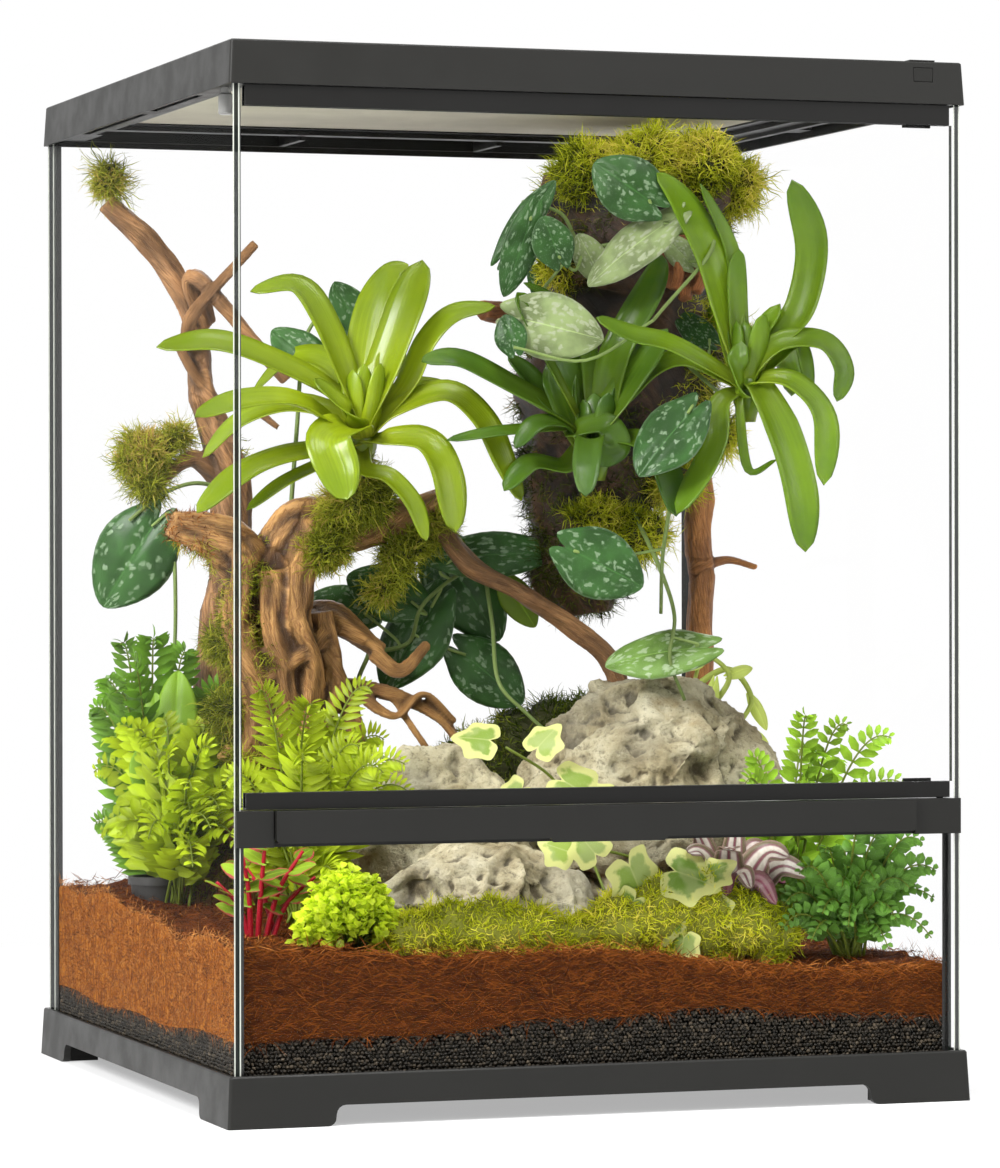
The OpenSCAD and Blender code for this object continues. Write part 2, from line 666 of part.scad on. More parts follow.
module screen_frame() {
    color(plastic_dark) difference() {
        block([-screen_x, screen_front, ledge_top], [screen_x, screen_rear, screen_top]);
        // Opening, with a step below that takes the mesh
        block([-mesh_x, mesh_front, ledge_top - 1], [mesh_x, mesh_rear, screen_top + 1]);
        block([-mesh_x - mesh_lap, mesh_front - mesh_lap, ledge_top - 1],
            [mesh_x + mesh_lap, mesh_rear + mesh_lap, mesh_z + mesh_t]);
        // Finger recesses in the border, left and right
        for (s = [-1, 1]) translate([s * (screen_x - border_w / 2), (screen_front + screen_rear) / 2, screen_top])
            rotate([90, 0, 0]) cylinder(h = 60, r = 4.5, center = true, $fn = 64);
    }
}

module screen_mesh() {
    x = mesh_x + mesh_lap - 0.3;
    y0 = mesh_front - mesh_lap + 0.3;
    y1 = mesh_rear + mesh_lap - 0.3;
    nx = floor((2 * x - 6) / mesh_pitch);
    ny = floor((y1 - y0 - 6) / mesh_pitch);
    hole = mesh_pitch * 0.42;
    holes = [for (i = [0:nx - 1], j = [0:ny - 1])
        [(i - (nx - 1) / 2) * mesh_pitch, (y0 + y1) / 2 + (j - (ny - 1) / 2) * mesh_pitch]];
    corners = [[-1, -1], [1, -1], [1, 1], [-1, 1]];
    color("#b9b2a4") translate([0, 0, mesh_z]) linear_extrude(mesh_t) polygon(
        points = concat([[-x, y0], [x, y0], [x, y1], [-x, y1]], [for (h = holes, c = corners) h + hole * c]),
        paths = [for (k = [0:len(holes)]) [4 * k, 4 * k + 1, 4 * k + 2, 4 * k + 3]]);
}

module screen_lock() {
    color(plastic) {
        // Button, and the tongue that passes over the screen's border
        block([lock_x - button_w / 2, lock_front, lock_z - button_h / 2],
            [lock_x + button_w / 2, lock_back - lock_travel - 1.5, lock_z + button_h / 2]);
        block([lock_x - tongue_half, lock_front + 2, tongue_low], [lock_x + tongue_half, lock_back, tongue_top]);
        // Neck and flat cap above the frame
        block([lock_x - 3, lock_front + 3, tongue_top - 1], [lock_x + 3, lock_front + 6, cap_z + eps]);
        block([lock_x - 8, lock_front + 1.5, cap_z], [lock_x + 8, lock_front + 11, cap_z + cap_t]);
    }
}

// A cover that slides towards the middle of the deck; side is -1 left and 1 right
module inlet_cover(side) {
    color(plastic_dark) translate([side * inlet_x, inlet_y, cover_z]) {
        block([-cover_l / 2, -cover_w / 2, 0], [cover_l / 2, cover_w / 2, inlet_t]);
        // Finger ridges, no higher than the lock's cap
        for (k = [-1:1]) translate([k * 4, 0, 0])
            block([-0.7, -cover_w / 2 + 4, inlet_t - eps], [0.7, cover_w / 2 - 4, inlet_t + 0.8]);
    }
}

// ---------------------------------------------------------------- ground

function drain_top(x, y) = drain_h + 4 * sin(x * 0.9 + 40) - 5 * sin(y * 0.35 - x * 0.3)
    + 1.5 * sin(x * 3.1 + y * 2.3);
function coir_top(x, y) = drain_h + coir_h + 10 * sin(-x * 0.4) + 6 * sin(y * 0.42) + 2.5 * sin(x * 1.7 + y * 1.3)
    + 2 * sin(y * 2.9 - x * 0.8);

// Heights of a surface over the grid: 0 is the floor pane, 1 the top of the beads, 2 the top of the coir
function heights(kind) = [for (j = [0:grid]) [for (i = [0:grid])
    let (x = drawn_box[0] * (2 * i / grid - 1), y = drawn_box[1] * (2 * j / grid - 1))
        kind == 0 ? 0 : kind == 1 ? drain_top(x, y) : coir_top(x, y)]];

// The layer between two surfaces
module layer(low, high) {
    n = grid + 1;
    xs = [for (i = [0:grid]) -soil_x + 2 * soil_x * i / grid];
    ys = [for (j = [0:grid]) soil_front + (soil_rear - soil_front) * j / grid];
    points = [for (part = [low, high], j = [0:grid], i = [0:grid]) [xs[i], ys[j], part[j][i]]];
    up = n * n;
    sheets = [for (j = [0:grid - 1], i = [0:grid - 1]) let (p = j * n + i)
        each [[p, p + 1, p + n + 1], [p, p + n + 1, p + n],
            [up + p, up + p + n + 1, up + p + 1], [up + p, up + p + n, up + p + n + 1]]];
    front_back = [for (i = [0:grid - 1]) let (r = grid * n + i)
        each [[i, up + i, up + i + 1], [i, up + i + 1, i + 1], [r, up + r + 1, up + r], [r, r + 1, up + r + 1]]];
    left_right = [for (j = [0:grid - 1]) let (p = j * n, q = j * n + grid)
        each [[p, up + p + n, up + p], [p, p + n, up + p + n], [q, up + q, up + q + n], [q, up + q + n, q + n]]];
    polyhedron(points = points, faces = concat(sheets, front_back, left_right), convexity = 6);
}

// Planting is drawn above the floor pane in the drawn box, and stretches with the real one
module in_tank() {
    translate([0, 0, floor_z]) scale([plan_x, plan_y, plan_z]) children();
}

// The soil lies against the real panes, and only its depth stretches
module in_soil() {
    translate([0, 0, floor_z]) scale([1, 1, plan_z]) children();
}

module drainage_beads() {
    color("#23221f") difference() {
        in_soil() layer(heights(0), heights(1));
        beads();
    }
}

module coir_bed() {
    color("#8a4a22") difference() {
        in_soil() layer(heights(1), heights(2));
        beads();
        rocks();
        woods();
        pot_outline();
        root_balls();
    }
}

// ---------------------------------------------------------------- stones

module peak_rock_shape() {
    in_tank() translate([100, -20, 62]) stone([196, 128, 164], 7, 11, 20, [8, 10]);
}

module side_rock_shape() {
    in_tank() translate([-46, -34, 62]) stone([116, 92, 124], 5, 9, 75, [4, 4]);
}

module front_rock_shape() {
    in_tank() translate([-44, -134, 60]) stone([142, 88, 72], 4, 10, 140, [2, 6]);
}

module rocks() {
    peak_rock_shape();
    side_rock_shape();
    front_rock_shape();
}

module peak_rock() {
    color("#a9a69b") difference() {
        peak_rock_shape();
        woods();
    }
}

module side_rock() {
    color("#a3a196") difference() {
        side_rock_shape();
        peak_rock_shape();
        woods();
    }
}

module front_rock() {
    color("#b0ada2") difference() {
        front_rock_shape();
        peak_rock_shape();
        side_rock_shape();
    }
}

// ---------------------------------------------------------------- wood

// Main stump: a trunk, its arms and roots, and its knots. Each point is [x, y, height, radius]
root_trunk = [[-124, 62, 56, 30], [-120, 62, 130, 27], [-126, 58, 210, 26], [-122, 54, 280, 26],
    [-104, 50, 328, 12]];
root_arms = [
    [[-126, 56, 286, 17], [-154, 46, 312, 14], [-190, 44, 326, 7]],
    [[-126, 56, 296, 16], [-104, 42, 328, 14], [-72, 36, 320, 11], [-42, 34, 330, 10], [-18, 26, 342, 8]],
    [[-122, 60, 230, 15], [-88, 54, 266, 11], [-54, 44, 244, 6]],
    [[-126, 60, 200, 14], [-88, 72, 206, 9], [-64, 78, 160, 7], [-70, 74, 70, 9]],
    [[-124, 62, 130, 20], [-152, 66, 98, 14], [-168, 70, 60, 10]],
    [[-114, 60, 214, 9], [-68, 42, 222, 5], [-22, 34, 206, 4], [2, 30, 176, 3]],
];
root_knots = [[-138, 50, 268, 15], [-112, 42, 298, 14], [-136, 48, 206, 14], [-110, 50, 160, 14],
    [-148, 48, 302, 10], [-90, 42, 318, 10], [-104, 56, 242, 12], [-116, 46, 314, 10]];

module knots(pts, seed) {
    for (i = [0:len(pts) - 1]) let (k = pts[i], turn = seed + 77 * i)
        knot([k[0], k[1], k[2]], k[3], k[3] * [0.7 * cos(turn), -abs(0.7 * sin(turn)), 0.4]);
}

module root_wood_shape() {
    in_tank() {
        limb(root_trunk, 2, 7, 0.16);
        for (arm = root_arms) limb(arm, len(arm) > 4 ? 1 : 2, 5, 0.14);
        knots(root_knots, 0);
    }
}

// Tall branch in the rear corner, with a side limb and broken twigs
tall_limbs = [
    [[-130, 132, 60, 15], [-138, 138, 190, 13], [-124, 148, 340, 12], [-142, 152, 414, 9], [-142, 160, 450, 8],
        [-162, 168, 496, 8], [-199, 172, 534, 6]],
    [[-136, 158, 456, 7], [-148, 138, 484, 6], [-92, 122, 418, 4]],
    [[-142, 156, 432, 5], [-152, 136, 458, 4], [-114, 120, 506, 3]],
    [[-130, 150, 354, 7], [-150, 148, 368, 6], [-172, 144, 352, 4]],
];
tall_knots = [[-140, 152, 408, 10], [-142, 160, 444, 8], [-162, 168, 492, 8], [-126, 148, 332, 12],
    [-134, 142, 250, 13], [-137, 136, 150, 13], [-148, 138, 482, 6], [-152, 148, 366, 7]];

module tall_branch_shape() {
    in_tank() {
        for (arm = tall_limbs) limb(arm, len(arm) > 4 ? 1 : 2, 5, 0.12);
        knots(tall_knots, 30);
    }
}

// The long arm that runs down to the rock
long_limb = [[-28, 30, 340, 7], [-6, 20, 302, 7], [28, 14, 282, 6], [66, 6, 256, 6],
    [86, 0, 236, 6], [92, -2, 204, 6]];

module long_branch_shape() {
    in_tank() limb(long_limb, 2, 6, 0.1);
}

// Column of bark, and the post that carries it behind the rock
column_spine = [[84, 40, 268, 18], [80, 40, 300, 36], [86, 40, 350, 44], [102, 38, 410, 54], [116, 38, 470, 60],
    [120, 38, 540, 60], [120, 38, 566, 34]];
post_spine = [[152, 54, 56, 11], [157, 53, 150, 10], [164, 50, 260, 9], [160, 46, 390, 10]];
post_twig = [[160, 50, 296, 4], [184, 52, 302, 3], [204, 50, 297, 2]];

module bark_column_shape() {
    in_tank() limb(column_spine, 2, 12, 0.12);
}

module wood_post_shape() {
    in_tank() {
        limb(post_spine, 2, 8, 0.08);
        limb(post_twig, 1, 5, 0.1);
    }
}

module woods() {
    root_wood_shape();
    tall_branch_shape();
    long_branch_shape();
    wood_post_shape();
}

module root_wood() {
    color("#a8733f") root_wood_shape();
}

module tall_branch() {
    color("#9a6a3c") difference() {
        tall_branch_shape();
        root_wood_shape();
    }
}

module long_branch() {
    color("#a06a3e") difference() {
        long_branch_shape();
        root_wood_shape();
    }
}

module bark_column() {
    color("#3b2f25") bark_column_shape();
}

module wood_post() {
    color("#96603a") difference() {
        wood_post_shape();
        bark_column_shape();
    }
}

// ---------------------------------------------------------------- moss

// Each tuft is [x, y, height, radius]
branch_tufts = [[-199, 172, 544, 14], [-197, 170, 556, 10], [-176, 146, 372, 18], [-192, 144, 366, 14],
    [-160, 148, 382, 13], [-182, 142, 354, 14], [-170, 146, 344, 10], [-186, 148, 378, 13]];
root_tufts = [[-96, 24, 308, 20], [-76, 12, 342, 24], [-84, 24, 330, 20], [-80, -3, 361, 14],
    [-44, 26, 306, 20], [-56, 28, 284, 16], [-26, 30, 322, 15],
    [-152, 44, 210, 19], [-142, 34, 176, 17], [-156, 50, 250, 16]];
column_tufts = [[72, 12, 546, 26], [104, -6, 552, 28], [144, -4, 552, 28], [172, 16, 540, 26], [62, 22, 490, 19],
    [176, 24, 440, 20], [168, 30, 384, 18], [74, 4, 330, 20], [104, -2, 318, 20], [130, 8, 350, 18]];
mound_tufts = [[-6, 62, 92, 36], [26, 66, 108, 38], [58, 72, 116, 36], [-4, 34, 104, 22], [34, 42, 128, 24],
    [-40, 84, 84, 28], [90, 78, 118, 28], [62, 108, 84, 30]];
front_tufts = [[-112, -178, 78, 19], [-82, -188, 72, 19], [-50, -191, 70, 18], [-18, -190, 68, 18], [16, -188, 66, 18],
    [48, -184, 66, 19], [80, -184, 64, 18], [112, -184, 62, 17]];

module branch_moss() {
    color("#7d8a2c") difference() {
        in_tank() tufts(branch_tufts);
        tall_branch_shape();
        vine(root_vine_stems, []);
    }
}

module root_moss() {
    color("#6f7d2a") difference() {
        in_tank() tufts(root_tufts);
        woods();
        rosette_hearts();
    }
}

module column_moss() {
    color("#75852b") difference() {
        in_tank() tufts(column_tufts);
        bark_column_shape();
        wood_post_shape();
        rosette_hearts();
        vine(column_vine_stems, column_vine_leaves);
    }
}

module rock_moss() {
    color("#5f7326") difference() {
        in_tank() tufts(mound_tufts);
        rocks();
        woods();
        in_soil() layer(heights(1), heights(2));
    }
}

module front_moss() {
    color("#8fa02e") difference() {
        in_tank() tufts(front_tufts, 0.6);
        front_rock_shape();
        root_balls();
        bushy_plant_shape();
        in_soil() layer(heights(1), heights(2));
    }
}

// ---------------------------------------------------------------- rosettes

// Hearts of the three rosettes
left_heart = [-82, -8, 384];
middle_heart = [62, -42, 378];
right_heart = [145, -84, 414];

// Leaves of each rosette: [turn, share of the longest leaf, rise at the heart, bend over the length,
// share of the width]
left_leaves = [[160, 1, 38, 50, 0.85], [180, 0.8, 35, 60, 0.8], [195, 0.85, 20, 75, 0.7], [245, 0.58, 50, 130, 1],
    [130, 0.8, 82, 95, 0.95], [30, 0.76, 72, 15, 1.05], [65, 0.7, 76, 20, 0.9], [0, 0.8, 62, 60, 0.7],
    [320, 0.95, 42, 115, 0.95], [290, 0.75, 20, 100, 0.9], [270, 0.6, 0, 75, 0.65]];
middle_leaves = [[165, 1, 40, 45, 0.85], [150, 0.95, 72, 110, 0.7], [50, 1, 72, 10, 0.9], [350, 0.68, 60, 10, 0.95],
    [190, 0.62, 45, 100, 0.8], [260, 0.45, 40, 100, 0.9], [200, 0.68, 5, 55, 0.5], [115, 0.8, 50, 30, 1]];
right_leaves = [[140, 1, 72, 8, 1], [115, 0.85, 78, 6, 0.6], [10, 0.95, 42, -55, 0.8], [345, 0.62, 52, 130, 0.7],
    [335, 0.62, 25, 110, 0.65], [300, 0.9, 5, 80, 1], [220, 0.7, 0, 75, 0.7], [175, 0.7, 30, 10, 0.8]];

// A rosette: arching leaves round a cup of short upright ones
module rosette(len, leaves) {
    for (leaf = leaves) rotate(leaf[0]) translate([7, 0, 0])
        strap_leaf(len * leaf[1], strap_w * leaf[4], 0, leaf[2], leaf[3]);
    for (k = [0:7]) rotate(k * 45 + 20) shoot(9, len * 0.22, 5);
    rosette_heart();
}

module rosette_heart() {
    translate([0, 0, -6]) sphere(11, $fn = 8);
}

module rosette_hearts() {
    for (p = [left_heart, middle_heart, right_heart]) in_tank() translate(p) rosette_heart();
}

module left_rosette() {
    color("#7fb52c") in_tank() translate(left_heart) rosette(left_leaf, left_leaves);
}

module middle_rosette_shape() {
    in_tank() translate(middle_heart) rosette(middle_leaf, middle_leaves);
}

module right_rosette_shape() {
    in_tank() translate(right_heart) rosette(right_leaf, right_leaves);
}

module middle_rosette() {
    color("#4f8f2a") difference() {
        middle_rosette_shape();
        right_rosette_shape();
        bark_column_shape();
    }
}

module right_rosette() {
    color("#5fa02c") right_rosette_shape();
}

// ---------------------------------------------------------------- vines

// Each leaf is [place of its stalk, turn, pitch, roll, share of the leaf length]
root_vine_stems = [[[-124, 146, 348, 2], [-150, 138, 352, 2], [-172, 140, 344, 1.6], [-192, 142, 328, 1.4]],
    [[-112, 50, 320, 2], [-104, 60, 384, 2], [-96, 70, 440, 1.8], [-80, 76, 462, 1.6], [-70, 76, 470, 1.4]]];
root_vine_leaves = [[[-192, 142, 328], 250, -80, 0, 1.1], [[-96, 70, 440], 150, 10, -60, 0.8],
    [[-70, 76, 470], 200, 0, -60, 0.9]];
ground_vine_stems = [[[-60, 45, 244, 2], [-30, 60, 250, 2], [-24, 44, 276, 2], [20, 60, 300, 1.8], [60, 40, 296, 1.6]],
    [[20, 60, 300, 1.8], [14, 24, 262, 1.8], [10, 0, 226, 1.6], [26, -8, 206, 1.8], [44, -10, 190, 2]]];
ground_vine_leaves = [[[-30, 60, 250], 230, -30, -20, 0.9], [[-24, 44, 276], 250, -75, 10, 1.2],
    [[20, 60, 300], 250, -60, 0, 1], [[60, 40, 296], 165, 5, -60, 1.2], [[10, 0, 226], 200, -30, -30, 0.9]];
column_vine_stems = [[[112, 0, 560, 2], [122, -30, 530, 2], [92, -30, 506, 2], [64, -10, 500, 1.8], [50, -6, 520, 1.4]],
    [[110, 0, 510, 2], [128, -70, 500, 2], [84, -80, 450, 1.6]], [[120, 0, 440, 2], [130, -90, 400, 1.6]],
    [[100, 10, 340, 2], [98, -50, 300, 2], [114, -58, 268, 1.8], [124, -60, 240, 1.8], [130, -50, 200, 2]]];
column_vine_leaves = [[[122, -30, 530], 165, 15, -75, 1.1], [[64, -10, 500], 240, -50, 0, 0.7],
    [[50, -6, 520], 200, -70, -40, 1], [[128, -70, 500], 200, -30, 60, 1.1], [[84, -80, 450], 175, -15, -70, 1.1],
    [[130, -90, 400], 230, -70, 20, 1], [[98, -50, 300], 200, -40, -50, 1.1], [[124, -60, 240], 170, 0, -50, 1.3]];
shoot_stalk = [[140, 22, 190, 2.6], [150, 30, 216, 2.4], [172, 20, 232, 2.4], [186, 14, 214, 2.4],
    [176, 10, 196, 2.2]];

module vine(stems, leaves) {
    in_tank() for (line = stems) stem(line, len(stems) > 2 ? 1 : 2);
    in_tank() for (leaf = leaves) set_leaf(leaf[0], leaf[1], leaf[2], leaf[3], vine_leaf * leaf[4]);
}

module root_vine() {
    color("#3c6b3f") difference() {
        vine(root_vine_stems, root_vine_leaves);
        root_wood_shape();
        tall_branch_shape();
    }
}

module ground_vine() {
    color("#3c6b3f") difference() {
        vine(ground_vine_stems, ground_vine_leaves);
        woods();
        rocks();
        bark_column_shape();
    }
}

module column_vine() {
    color("#3c6b3f") difference() {
        vine(column_vine_stems, column_vine_leaves);
        bark_column_shape();
        peak_rock_shape();
        middle_rosette_shape();
        right_rosette_shape();
    }
}

module shoot_vine() {
    color("#a9b56a") difference() {
        in_tank() stem(shoot_stalk);
        peak_rock_shape();
        wood_post_shape();
    }
}

// ---------------------------------------------------------------- ground plants

// Places where the ground plants are rooted, in the coir
corner_root = [-180, 128, 84];
door_root = [-140, -70, 84];
right_root = [158, -128, 66];
low_root = [170, -184, 60];
bushy_root = [-140, -168, 80];
red_root = [-178, -120, 84];
ivy_root = [46, -158, 74];
striped_root = [100, -152, 68];
plant_roots = [corner_root, door_root, right_root, low_root, bushy_root, red_root, ivy_root, striped_root];
pot_place = [-192, 74, 62];

module root_ball() {
    hull() {
        translate([0, 0, -9]) sphere(5, $fn = 4);
        sphere(9, $fn = 6);
    }
}

module root_balls() {
    for (p = plant_roots) in_tank() translate(p) root_ball();
}

// A young leaf, still upright, that leans out by the given run
module shoot(run, height, r) {
    hull() {
        translate([r, 0, 0]) cylinder(h = 0.1, r = r, $fn = 3);
        translate([run, 0, height]) cylinder(h = 0.1, r = r * 0.5, $fn = 3);
    }
}

// A fern: a ring of fronds round a few young ones; spread shortens its reach along X and Y
module fern(len, count, spread, rise, seed) {
    for (k = [0:count - 1]) let (turn = 360 * k / count + seed) translate(5 * [cos(turn), sin(turn), 0])
        frond(len * (k % 2 == 0 ? 1 : 0.8), 24, spread, turn, rise + 10 * sin(seed + 131 * k), 50 + 20 * sin(97 * k));
    for (k = [0:6]) rotate(51 * k + 20) shoot(4 + k / 2, 9 + 2 * k, 1.6);
    root_ball();
}

module corner_fern() {
    color("#5c9a34") in_tank() translate(corner_root) fern(frond_len * 1.6, 7, [0.36, 1], 78, 10);
}

module door_fern() {
    color("#74ab35") in_tank() translate(door_root) fern(frond_len * 1.5, 6, [0.7, 0.8], 76, 40);
}

module right_fern() {
    color("#5c9a34") in_tank() translate(right_root) fern(frond_len * 1.4, 6, [0.8, 0.75], 76, 20);
}

module low_fern() {
    color("#5c9a34") in_tank() translate(low_root) fern(frond_len * 0.6, 5, [1, 0.3], 60, 0);
}

module bushy_plant_shape() {
    in_tank() translate(bushy_root) {
        for (k = [0:6]) let (r = 7.5 * sqrt(k))
            tufts([[r * cos(137 * k), 0.8 * r * sin(137 * k), 18 - k, 10]], 0.9);
        root_ball();
    }
}

module bushy_plant() {
    color("#79b32e") bushy_plant_shape();
}

module red_stem_plant() {
    color("#a03040") in_tank() translate(red_root) {
        for (k = [0:6]) rotate(51 * k) shoot(16, 42 - 3 * k, 2.4);
        root_ball();
    }
}

module ivy_plant() {
    color("#9fc05a") difference() {
        in_tank() translate(ivy_root) {
            for (k = [0:6]) rotate(51 * k) {
                shoot(14, 22 + 8 * (k % 3), 1.6);
                set_leaf([13, 0, 22 + 8 * (k % 3)], 0, -30, 0, 24);
            }
            root_ball();
        }
        front_rock_shape();
    }
}

module striped_plant() {
    color("#6d4a5a") in_tank() translate(striped_root) {
        for (k = [0:6]) rotate(51 * k) {
            translate([4.3, 0, 1]) strap_leaf(42, 20, 0, 55 + k, 60, 3);
            rotate(27 + k) shoot(7, 12 + k / 2, 3);
        }
        root_ball();
    }
}

// The pot stays round: only its place follows the box
module in_pot() {
    translate([pot_place[0] * plan_x, pot_place[1] * plan_y, floor_z + pot_place[2] * plan_z]) children();
}

module pot_outline() {
    in_pot() translate([0, 0, -soil_gap]) cylinder(h = 44, r1 = 12 + soil_gap, r2 = 17.2 + soil_gap, $fn = 48);
}

module plant_pot() {
    color("#2b2a28") in_pot() rotate_extrude($fn = 64)
        polygon([[0, 0], [12, 0], [16.4, 37], [18, 37], [18, 42], [15, 42], [10.4, 3], [0, 3]]);
}

base_frame();
floor_glass();
side_glass(-1);  // left_glass
side_glass(1);  // right_glass
rear_glass();
front_glass();
corner_beads();
front_rail();
top_frame();
hanger_stud();
door_glass();
door_top_rail();
door_low_rail();
hinge_pin_top();
hinge_pin_low();
latch_bar();
screen_frame();
screen_mesh();
screen_lock();
inlet_cover(-1);  // inlet_cover_left
inlet_cover(1);  // inlet_cover_right
drainage_beads();
coir_bed();
peak_rock();
side_rock();
front_rock();
root_wood();
tall_branch();
long_branch();
bark_column();
wood_post();
branch_moss();
root_moss();
column_moss();
rock_moss();
front_moss();
left_rosette();
middle_rosette();
right_rosette();
root_vine();
ground_vine();
column_vine();
shoot_vine();
corner_fern();
door_fern();
right_fern();
low_fern();
bushy_plant();
red_stem_plant();
ivy_plant();
striped_plant();
plant_pot();
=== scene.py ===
import bpy
import math
import numpy as np
from mathutils import Matrix, Vector, noise as cells


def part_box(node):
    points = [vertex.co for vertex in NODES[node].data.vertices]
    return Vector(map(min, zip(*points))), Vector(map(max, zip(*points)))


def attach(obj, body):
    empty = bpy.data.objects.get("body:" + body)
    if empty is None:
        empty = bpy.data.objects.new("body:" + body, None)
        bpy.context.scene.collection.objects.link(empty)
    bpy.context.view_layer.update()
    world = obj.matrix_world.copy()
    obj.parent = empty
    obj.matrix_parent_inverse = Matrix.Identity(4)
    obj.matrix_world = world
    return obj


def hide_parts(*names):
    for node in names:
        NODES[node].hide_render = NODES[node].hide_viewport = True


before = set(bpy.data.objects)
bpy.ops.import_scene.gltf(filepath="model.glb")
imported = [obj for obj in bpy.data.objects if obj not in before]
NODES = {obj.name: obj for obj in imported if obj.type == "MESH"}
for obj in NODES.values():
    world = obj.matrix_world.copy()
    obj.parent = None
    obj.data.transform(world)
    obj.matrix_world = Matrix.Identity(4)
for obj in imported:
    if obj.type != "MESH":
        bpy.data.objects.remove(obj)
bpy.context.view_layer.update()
MM = 0.001
# Top of the floor pane, and how far planting may reach inside the glass, in millimetres
FLOOR, LIMIT, LIMIT_FRONT, LIMIT_TOP = 21.0, 219.4, -215.6, 602
# The golden angle in radians, near enough, to spread things round a middle
SPREAD = 2.4
# From the planting towards the camera, and to its right
VIEW = np.array([-0.32, -0.9, 0.42])
RIGHT_OF_VIEW = np.array([0.9472, -0.3206, 0.0])
UP = np.array([0, 0, 1.0])


# ---------------------------------------------------------------- materials: short ways to add nodes

def tone(colour, share):
    """A darker or a lighter colour, up to full."""
    return tuple(min(1.0, c * share) for c in colour)


class Graph:
    """The nodes of a new material, or of a given tree. An input is a socket, a number, a vector or a colour."""

    def __init__(self, name=None, tree=None):
        self.tree = tree
        if name:
            self.mat = bpy.data.materials.new(name)
            self.mat.use_nodes = True
            self.tree = self.mat.node_tree
            self.tree.nodes.clear()
            self.out = self.add("OutputMaterial").inputs[0]

    def put(self, socket, value):
        if isinstance(value, bpy.types.NodeSocket):
            self.tree.links.new(value, socket)
        else:
            socket.default_value = (*value, 1) if socket.type == "RGBA" else value

    def add(self, kind, **inputs):
        node = self.tree.nodes.new("ShaderNode" + kind)
        for name, value in inputs.items():
            if value is not None:
                self.put(node.inputs[name.replace("_", " ")], value)
        return node

    def math(self, kind, a, b=None):
        node = self.add("Math")
        node.operation = kind
        self.put(node.inputs[0], a)
        if b is not None:
            self.put(node.inputs[1], b)
        return node.outputs[0]

    def times(self, a, b):
        return self.math("MULTIPLY", a, b)

    def span(self, value, low, high, to_low=0.0, to_high=1.0):
        node = self.add("MapRange", Value=value, From_Min=low, From_Max=high, To_Min=to_low, To_Max=to_high)
        node.interpolation_type = "SMOOTHSTEP"
        return node.outputs[0]

    def noise(self, scale, detail=3, rough=0.55, vector=None, stretch=None, distort=0.0):
        """Noise in object space, in cells of about 1 / scale metres; stretch squeezes its axes."""
        if vector is None:
            vector = self.add("TexCoord").outputs["Object"]
        if stretch is not None:
            vector = self.add("Mapping", Scale=stretch, Vector=vector).outputs[0]
        return self.add("TexNoise", Scale=scale, Detail=detail, Roughness=rough, Distortion=distort,
                        Vector=vector).outputs["Fac"]

    def ramp(self, value, *stops):
        node = self.add("ValToRGB")
        row = node.color_ramp.elements
        while len(row) > 1:
            row.remove(row[-1])
        row[0].position = stops[0][0]
        row[0].color = (*stops[0][1], 1)
        for at, colour in stops[1:]:
            row.new(at).color = (*colour, 1)
        self.put(node.inputs[0], value)
        return node.outputs[0]

    def mix(self, share, a, b):
        node = self.add("Mix")
        node.data_type = "RGBA"
        self.put(node.inputs["Factor"], share)
        for name, value in (("A", a), ("B", b)):
            self.put([s for s in node.inputs if s.name == name and s.type == "RGBA"][0], value)
        return [s for s in node.outputs if s.type == "RGBA"][0]

    def bump(self, height, strength, distance, normal=None):
        return self.add("Bump", Strength=strength, Distance=distance, Height=height, Normal=normal).outputs[0]

    def split(self, vector):
        return self.add("SeparateXYZ", Vector=vector).outputs

    def join(self, parts):
        node = self.add("CombineXYZ")
        for socket, value in zip(node.inputs, parts):
            self.put(socket, value)
        return node.outputs[0]

    def field(self, name="leaf"):
        """Along, across and tint of a leaf or strand, each as its own socket."""
        node = self.add("Attribute")
        node.attribute_name = name
        return self.split(node.outputs["Vector"])

    def pit(self):
        """How deep a point lies in a hollow, in millimetres."""
        node = self.add("Attribute")
        node.attribute_name = "pit"
        return node.outputs["Fac"]

    def blend(self, share, first, second):
        node = self.add("MixShader")
        for socket, value in zip(node.inputs, (share, first.outputs[0], second.outputs[0])):
            self.put(socket, value)
        self.put(self.out, node.outputs[0])
        return self.mat

    def solid(self, colour, rough, normal, gloss):
        """A plain surface; gloss is its specular level."""
        node = self.add("BsdfPrincipled", Base_Color=colour, Roughness=rough, Normal=normal, Specular_IOR_Level=gloss)
        self.put(self.out, node.outputs[0])
        return self.mat

    def leafy(self, colour, rough, normal, through, gloss):
        """A leaf: a soft gloss above, and light that comes through it."""
        skin = self.add("BsdfPrincipled", Base_Color=colour, Roughness=rough, Normal=normal, Specular_IOR_Level=gloss)
        return self.blend(through, skin, self.add("BsdfTranslucent", Color=colour))


# ---------------------------------------------------------------- camera, light and floor

